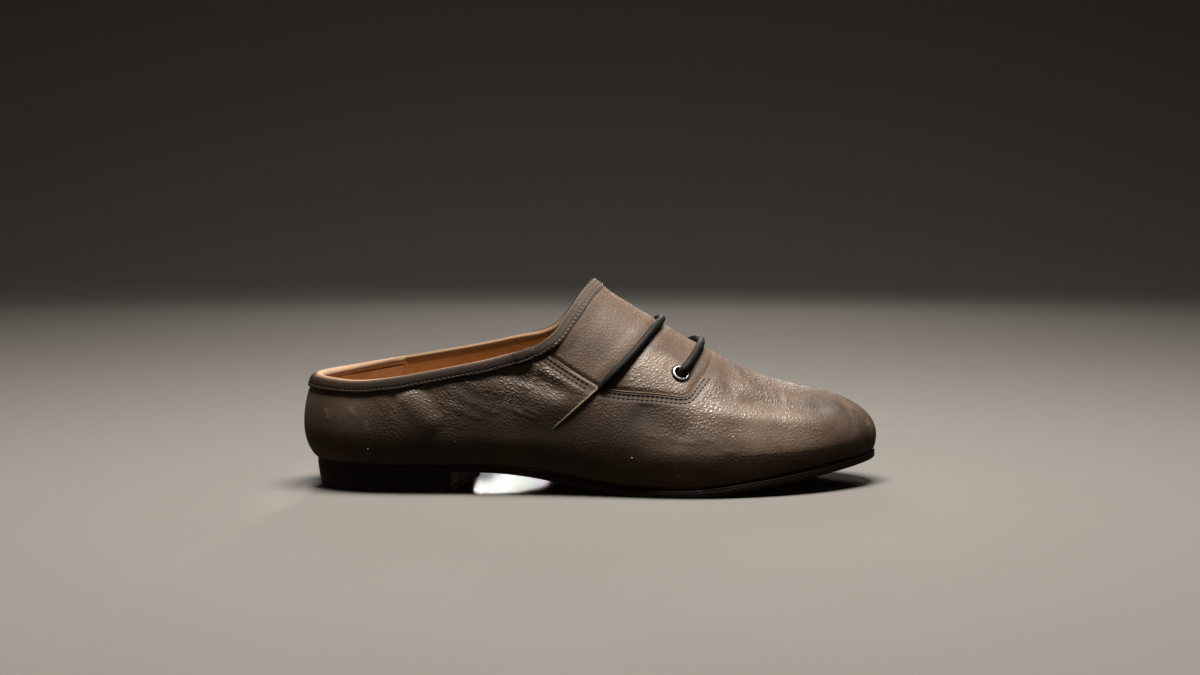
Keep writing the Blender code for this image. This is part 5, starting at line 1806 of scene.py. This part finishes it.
class SHOE_OT_stitches(ShoeOperator, bpy.types.Operator):
    """Every sewn row as short thread stitches; on the binding's row, dark dimples between them paint the
    shade of the needle holes.
    """

    bl_idname = "shoe.stitches"
    bl_label = "Stitches"

    # A dark flat dimple that paints the shade of a needle hole: its length, width and depth
    HOLE_SHADE = (1.05, 0.75, 0.30)
    REAR_TRIM, FRONT_TRIM, FADED = 3.0, 1.5, 0.4
    ROW_LIFT, TAB_SUNK = 0.70, 0.22

    def make(self, sizes, colours):
        pitch = sizes.pitch / MM
        seams = self.places(self.seam_rows(), pitch)
        bound = self.places([self.binding_row()], pitch)
        collar = [place for place in bound if place.translation.x <= TAB_FROM * MM]
        tab = [place for place in bound if place.translation.x > TAB_FROM * MM]
        half = Matrix.Translation((pitch / 2 * MM, 0, 0))
        hole_shades = [place @ half for place in bound]
        for name, stuff, colour, light, dark, places in (
            ("seam_stitches", "sewing_thread", colours.thread, 0.34, 0.5, seams),
            ("binding_stitches", "binding_thread", colours.thread, 0.65, 0.45, collar),
            ("tab_stitches", "tab_thread", colours.leather_worn_and_highlight, 0.75, 0.45, tab),
            # dark dimples as painted shade in the needle holes
            ("needle_hole_shades", "needle_hole_shades", colours.thread, 0.12, 0.2, hole_shades),
        ):
            piece = copies(name, self.hole() if places is hole_shades else self.stitch(sizes), places)
            dress(piece, [two_tone(stuff, colour, light, dark, 3200.0)])
            hand_over(piece, "lace_cord", angle=80)

    @staticmethod
    def bead(name, rings, extent, **turned):
        """A small ball drawn out to its extent."""
        ball = {"segments": 8, "ring_count": rings, "radius": 0.5, **turned}
        model = started(name, bpy.ops.mesh.primitive_uv_sphere_add, **ball)
        bpy.ops.object.transform_apply(location=False, rotation=True, scale=False)
        with editing(model):
            bpy.ops.transform.resize(value=extent)
        return model

    def stitch(self, sizes):
        """One stitch: a rounded rod whose ends dive into the leather."""
        extent = (sizes.stitch, sizes.thread, sizes.thread)
        return self.bead("stitch_model", 6, extent, rotation=(0, math.pi / 2, 0))

    def hole(self):
        """One needle hole's painted shade: a flat dark dimple at the end of a stitch."""
        return self.bead("hole_shade_model", 4, [extent * MM for extent in self.HOLE_SHADE])

    def seam_rows(self):
        """Sewn rows on the upper beside the panel, as (points, normals)."""
        rows = []
        for distance in STITCH_ROWS:
            for side in BOTH:
                rear = seam_line(PANEL_REAR_SEAM, side, 120)
                rear = rear if side < 0 else rear[::-1]
                rows.append(self.on_skin(moved_along_face(rear, -distance), 1.0, self.REAR_TRIM))
            for side in BOTH:
                front = throat_side(side, 240)
                front = front if side < 0 else front[::-1]
                rows.append(self.on_skin(moved_along_face(front, -distance), 0.0, self.FRONT_TRIM))
        return rows

    def on_skin(self, plan, behind, trim):
        """A row on the creased skin, shortened a little at both ends."""
        points = on_face(plan)
        normals = face_normals(points)
        relief, _ = skin_relief(points, np.full(len(points), behind))
        places = arc_places(points)
        kept = (places > trim) & (places < places[-1] - trim) & (seam_shows(points) > self.FADED)
        return (points + normals * relief[:, None])[kept], normals[kept]

    def binding_row(self):
        """The row round the binding's lower edge, lying deeper on the tab."""
        loop = collar_loop(LOOP_STATIONS)
        down, _ = loop_frame(loop)
        tab = on_tab(loop)[:, None]
        base = down_the_face(loop, down, BINDING_STITCH)
        normals = face_normals(base)
        thickness = 1 - (1 - TAB_THICKNESS) * tab
        row = base + (STRIP_CLEAR + self.ROW_LIFT * thickness - self.TAB_SUNK * tab) * normals
        return np.concatenate([row, row[:1]]), np.concatenate([normals, normals[:1]])

    @staticmethod
    def places(rows, pitch):
        """Placings of stitches one pitch apart along each row."""
        found = []
        for points, normals in rows:
            along = unit(np.gradient(points, axis=0))
            at = arc_places(points)
            middles = (np.arange(int(at[-1] / pitch)) + 0.5) * pitch
            found += map(stand, *(between(middles, at, values) for values in (points, along, normals)))
        return found


class SHOE_OT_marks(ShoeOperator, bpy.types.Operator):
    """Small things that stick to a worn shoe: dust specks and frayed thread ends at the binding's joint."""

    bl_idname = "shoe.marks"
    bl_label = "Specks and frays"

    SPECK_RADIUS, SPECK_HEADING = 0.26, (1, 0, 0.4)
    Fray = namedtuple("Fray", "forward rise bow")
    FRAYS = [Fray(-1.6, 2.6, 0.5), Fray(0.4, 3.2, -0.4), Fray(1.8, 1.6, 0.6), Fray(-0.6, -2.4, 0.4)]
    FRAY_AT, FRAY_FIRST, FRAY_STEP = (-26.6, 63.6), np.array([-0.6, 0, -0.4]), np.array([0.4, 0, 0.3])
    FRAY_OUT, FRAY_LENGTH, FRAY_LIFT, FRAY_RADIUS = 1.55, 0.6, 0.5, 0.13

    def make(self, sizes, colours):
        radius = self.SPECK_RADIUS * MM
        model = started("speck_model", bpy.ops.mesh.primitive_ico_sphere_add, subdivisions=2, radius=radius)
        places = []
        for k, (x, z) in enumerate(DUST_SPECKS):
            point = side_point(x, z, LATERAL)
            breadth = 0.7 + 0.4 * math.sin(2.0 * k)
            flattened = Matrix.Diagonal((1.3 * breadth, breadth, 0.5, 1))
            places.append(stand(point, self.SPECK_HEADING, face_normals(point)) @ flattened)
        specks = copies("dust_specks", model, places)
        dress(specks, [fibrous("pale_dust", (0.62, 0.56, 0.48), (0.45, 0.40, 0.33), 3000.0)])
        hand_over(specks, "upper_leather", angle=80)
        self.frays(colours)

    def frays(self, colours):
        """Short pale fibres that stand out of the binding's lapped joint."""
        joint = side_point(*self.FRAY_AT, LATERAL)
        normal = face_normals(joint)
        pale = two_tone("frayed_fibre", colours.thread, 1.7, 1.1, 3000.0)
        for k, fray in enumerate(self.FRAYS):
            root = joint + self.FRAY_OUT * normal + self.FRAY_FIRST + k * self.FRAY_STEP
            reach = self.FRAY_LENGTH * np.array([fray.forward, 0.0, fray.rise])
            bend = fray.bow * np.cross(unit(reach), normal) + self.FRAY_LIFT * normal
            path = smooth_route([root, root + 0.5 * reach + bend, root + reach], 12)
            tube(f"frayed_fibre_{k}", round_rings(path, self.FRAY_RADIUS, 6), pale, "lace_cord")


class SHOE_OT_stage(bpy.types.Operator):
    """Pale floor swept up behind, soft lights overhead and behind, a low beam on the floor and the camera."""

    bl_idname = "shoe.stage"
    bl_label = "Stage"

    FLOOR_SIZE, BACK_Y, BACK_HEIGHT, SWEEP, NEAR = 16.0, 2.6, 3.0, 1.2, 0.01
    Lamp = namedtuple("Lamp", "place target extent colour")
    KEY = Lamp((0.03, -0.06, 0.90), (0.0, 0.0, 0.03), (0.55, 0.26), (1.0, 0.945, 0.88))
    BACK = Lamp((0.06, 1.30, 0.60), (0.0, 0.0, 0.03), (0.60, 0.30), (1.0, 0.95, 0.90))
    BEAM = Lamp((-0.03, 0.90, 0.165), (-0.03, 0.0, 0.0), (0.12, 0.05), (1.0, 0.98, 0.96))
    BEAM_SPREAD = math.radians(9)
    ROOM_COLOUR = (1.0, 0.76, 0.56, 1.0)
    SENSOR_WIDTH = 36.0

    def execute(self, context):
        settings = context.scene.shoe_stage
        self.lights(settings, self.floor(settings))
        self.camera(settings)
        return {"FINISHED"}

    def floor(self, settings):
        """A plane whose back edge is drawn up and rounded; it throws no light back onto the shoe."""
        middle = (0, self.BACK_Y - self.FLOOR_SIZE / 2, 0)
        floor = started("pale_floor", bpy.ops.mesh.primitive_plane_add, size=self.FLOOR_SIZE, location=middle)
        bpy.ops.object.transform_apply(location=True, rotation=False, scale=False)
        bpy.ops.object.mode_set(mode="EDIT")
        bpy.ops.mesh.select_mode(type="EDGE")
        self.pick_edges(floor.data, lambda end: end.y > self.BACK_Y - self.NEAR)
        bpy.ops.mesh.extrude_edges_move(TRANSFORM_OT_translate={"value": (0, 0, self.BACK_HEIGHT)})
        self.pick_edges(floor.data, lambda end: end.y > self.BACK_Y - self.NEAR and end.z < self.NEAR)
        bpy.ops.mesh.bevel(offset=self.SWEEP, segments=24)
        bpy.ops.mesh.select_all(action="SELECT")
        bpy.ops.mesh.normals_make_consistent(inside=False)
        bpy.ops.object.mode_set(mode="OBJECT")
        if floor.data.polygons[0].normal.z < 0:
            floor.data.flip_normals()
        dress(floor, [pale_floor("pale_floor", settings.floor)])
        floor.visible_diffuse = floor.visible_glossy = False
        bpy.ops.object.shade_smooth_by_angle(angle=math.radians(60))
        floor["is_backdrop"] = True
        return floor

    @staticmethod
    def pick_edges(mesh, passes):
        """Selects the edges whose ends both pass a test and goes on in edit mode."""
        bpy.ops.mesh.select_all(action="DESELECT")
        bpy.ops.object.mode_set(mode="OBJECT")
        for edge in mesh.edges:
            edge.select = all(passes(mesh.vertices[end].co) for end in edge.vertices)
        bpy.ops.object.mode_set(mode="EDIT")

    def lights(self, settings, floor):
        """Key and back light, the beam that only the floor takes, and a faint warm room."""
        self.area("key_light", settings.key_power, self.KEY)
        self.area("back_light", settings.back_power, self.BACK)
        beam = self.area("floor_light", settings.floor_power, self.BEAM)
        beam.data.spread = self.BEAM_SPREAD
        lit = bpy.data.collections.new("lit_floor")
        lit.objects.link(floor)
        beam.light_linking.receiver_collection = lit
        world = bpy.data.worlds.new("studio_room")
        world.use_nodes = True
        world.node_tree.nodes["Background"].inputs["Color"].default_value = self.ROOM_COLOUR
        world.node_tree.nodes["Background"].inputs["Strength"].default_value = settings.sky
        scene = bpy.context.scene
        scene.world = world
        scene.view_settings.view_transform = "Standard"
        scene.view_settings.exposure = settings.exposure

    @staticmethod
    def area(name, power, lamp):
        """A rectangular light aimed at its target."""
        light = bpy.data.lights.new(name, "AREA")
        light.energy = power
        light.shape = "RECTANGLE"
        light.size, light.size_y = lamp.extent
        light.color = lamp.colour
        piece = bpy.data.objects.new(name, light)
        piece.location = lamp.place
        piece.rotation_euler = (Vector(lamp.target) - Vector(lamp.place)).to_track_quat("-Z", "Y").to_euler()
        bpy.context.scene.collection.objects.link(piece)
        return piece

    def camera(self, settings):
        data = bpy.data.cameras.new("photo_view")
        data.lens = settings.lens
        data.sensor_width = self.SENSOR_WIDTH
        camera = bpy.data.objects.new("photo_view", data)
        camera.location = settings.eye
        camera.rotation_euler = (math.pi / 2 - settings.pitch, 0, 0)
        bpy.context.scene.collection.objects.link(camera)
        bpy.context.scene.camera = camera


PIECES = (
    SHOE_OT_stage,
    SHOE_OT_upper,
    SHOE_OT_instep_panel,
    SHOE_OT_binding,
    SHOE_OT_collar_edge,
    SHOE_OT_lining,
    SHOE_OT_outsole,
    SHOE_OT_heel,
    SHOE_OT_laces,
    SHOE_OT_eyelets,
    SHOE_OT_stitches,
    SHOE_OT_marks,
)


class SHOE_PT_sidebar(bpy.types.Panel):
    """Lists the shoe's pieces in the order in which they are made."""

    bl_idname = "SHOE_PT_sidebar"
    bl_label = "Dance Shoe"
    bl_space_type = "VIEW_3D"
    bl_region_type = "UI"
    bl_category = "Dance Shoe"

    def draw(self, context):
        for piece in PIECES:
            self.layout.operator(piece.bl_idname)
        for settings in (context.scene.shoe_sizes, context.scene.shoe_colours, context.scene.shoe_stage):
            box = self.layout.box()
            for name in settings.__annotations__:
                box.prop(settings, name)


SETTINGS = {"shoe_sizes": ShoeSizes, "shoe_colours": ShoeColours, "shoe_stage": StageSettings}


def register():
    for made in (*SETTINGS.values(), *PIECES, SHOE_PT_sidebar):
        bpy.utils.register_class(made)
    for name, settings in SETTINGS.items():
        setattr(bpy.types.Scene, name, bpy.props.PointerProperty(type=settings))


def unregister():
    for name in SETTINGS:
        delattr(bpy.types.Scene, name)
    for made in (SHOE_PT_sidebar, *reversed(PIECES), *SETTINGS.values()):
        bpy.utils.unregister_class(made)


def write_sizes():
    boxes = {"cad": CAD_BOX, "visual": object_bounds()}
    {name: [list(low), list(high)] for name, (low, high) in boxes.items()}


def main():
    register()
    for piece in PIECES:
        group, name = piece.bl_idname.split(".")
        getattr(getattr(bpy.ops, group), name)()
    write_sizes()


if __name__ == "__main__":
    main()
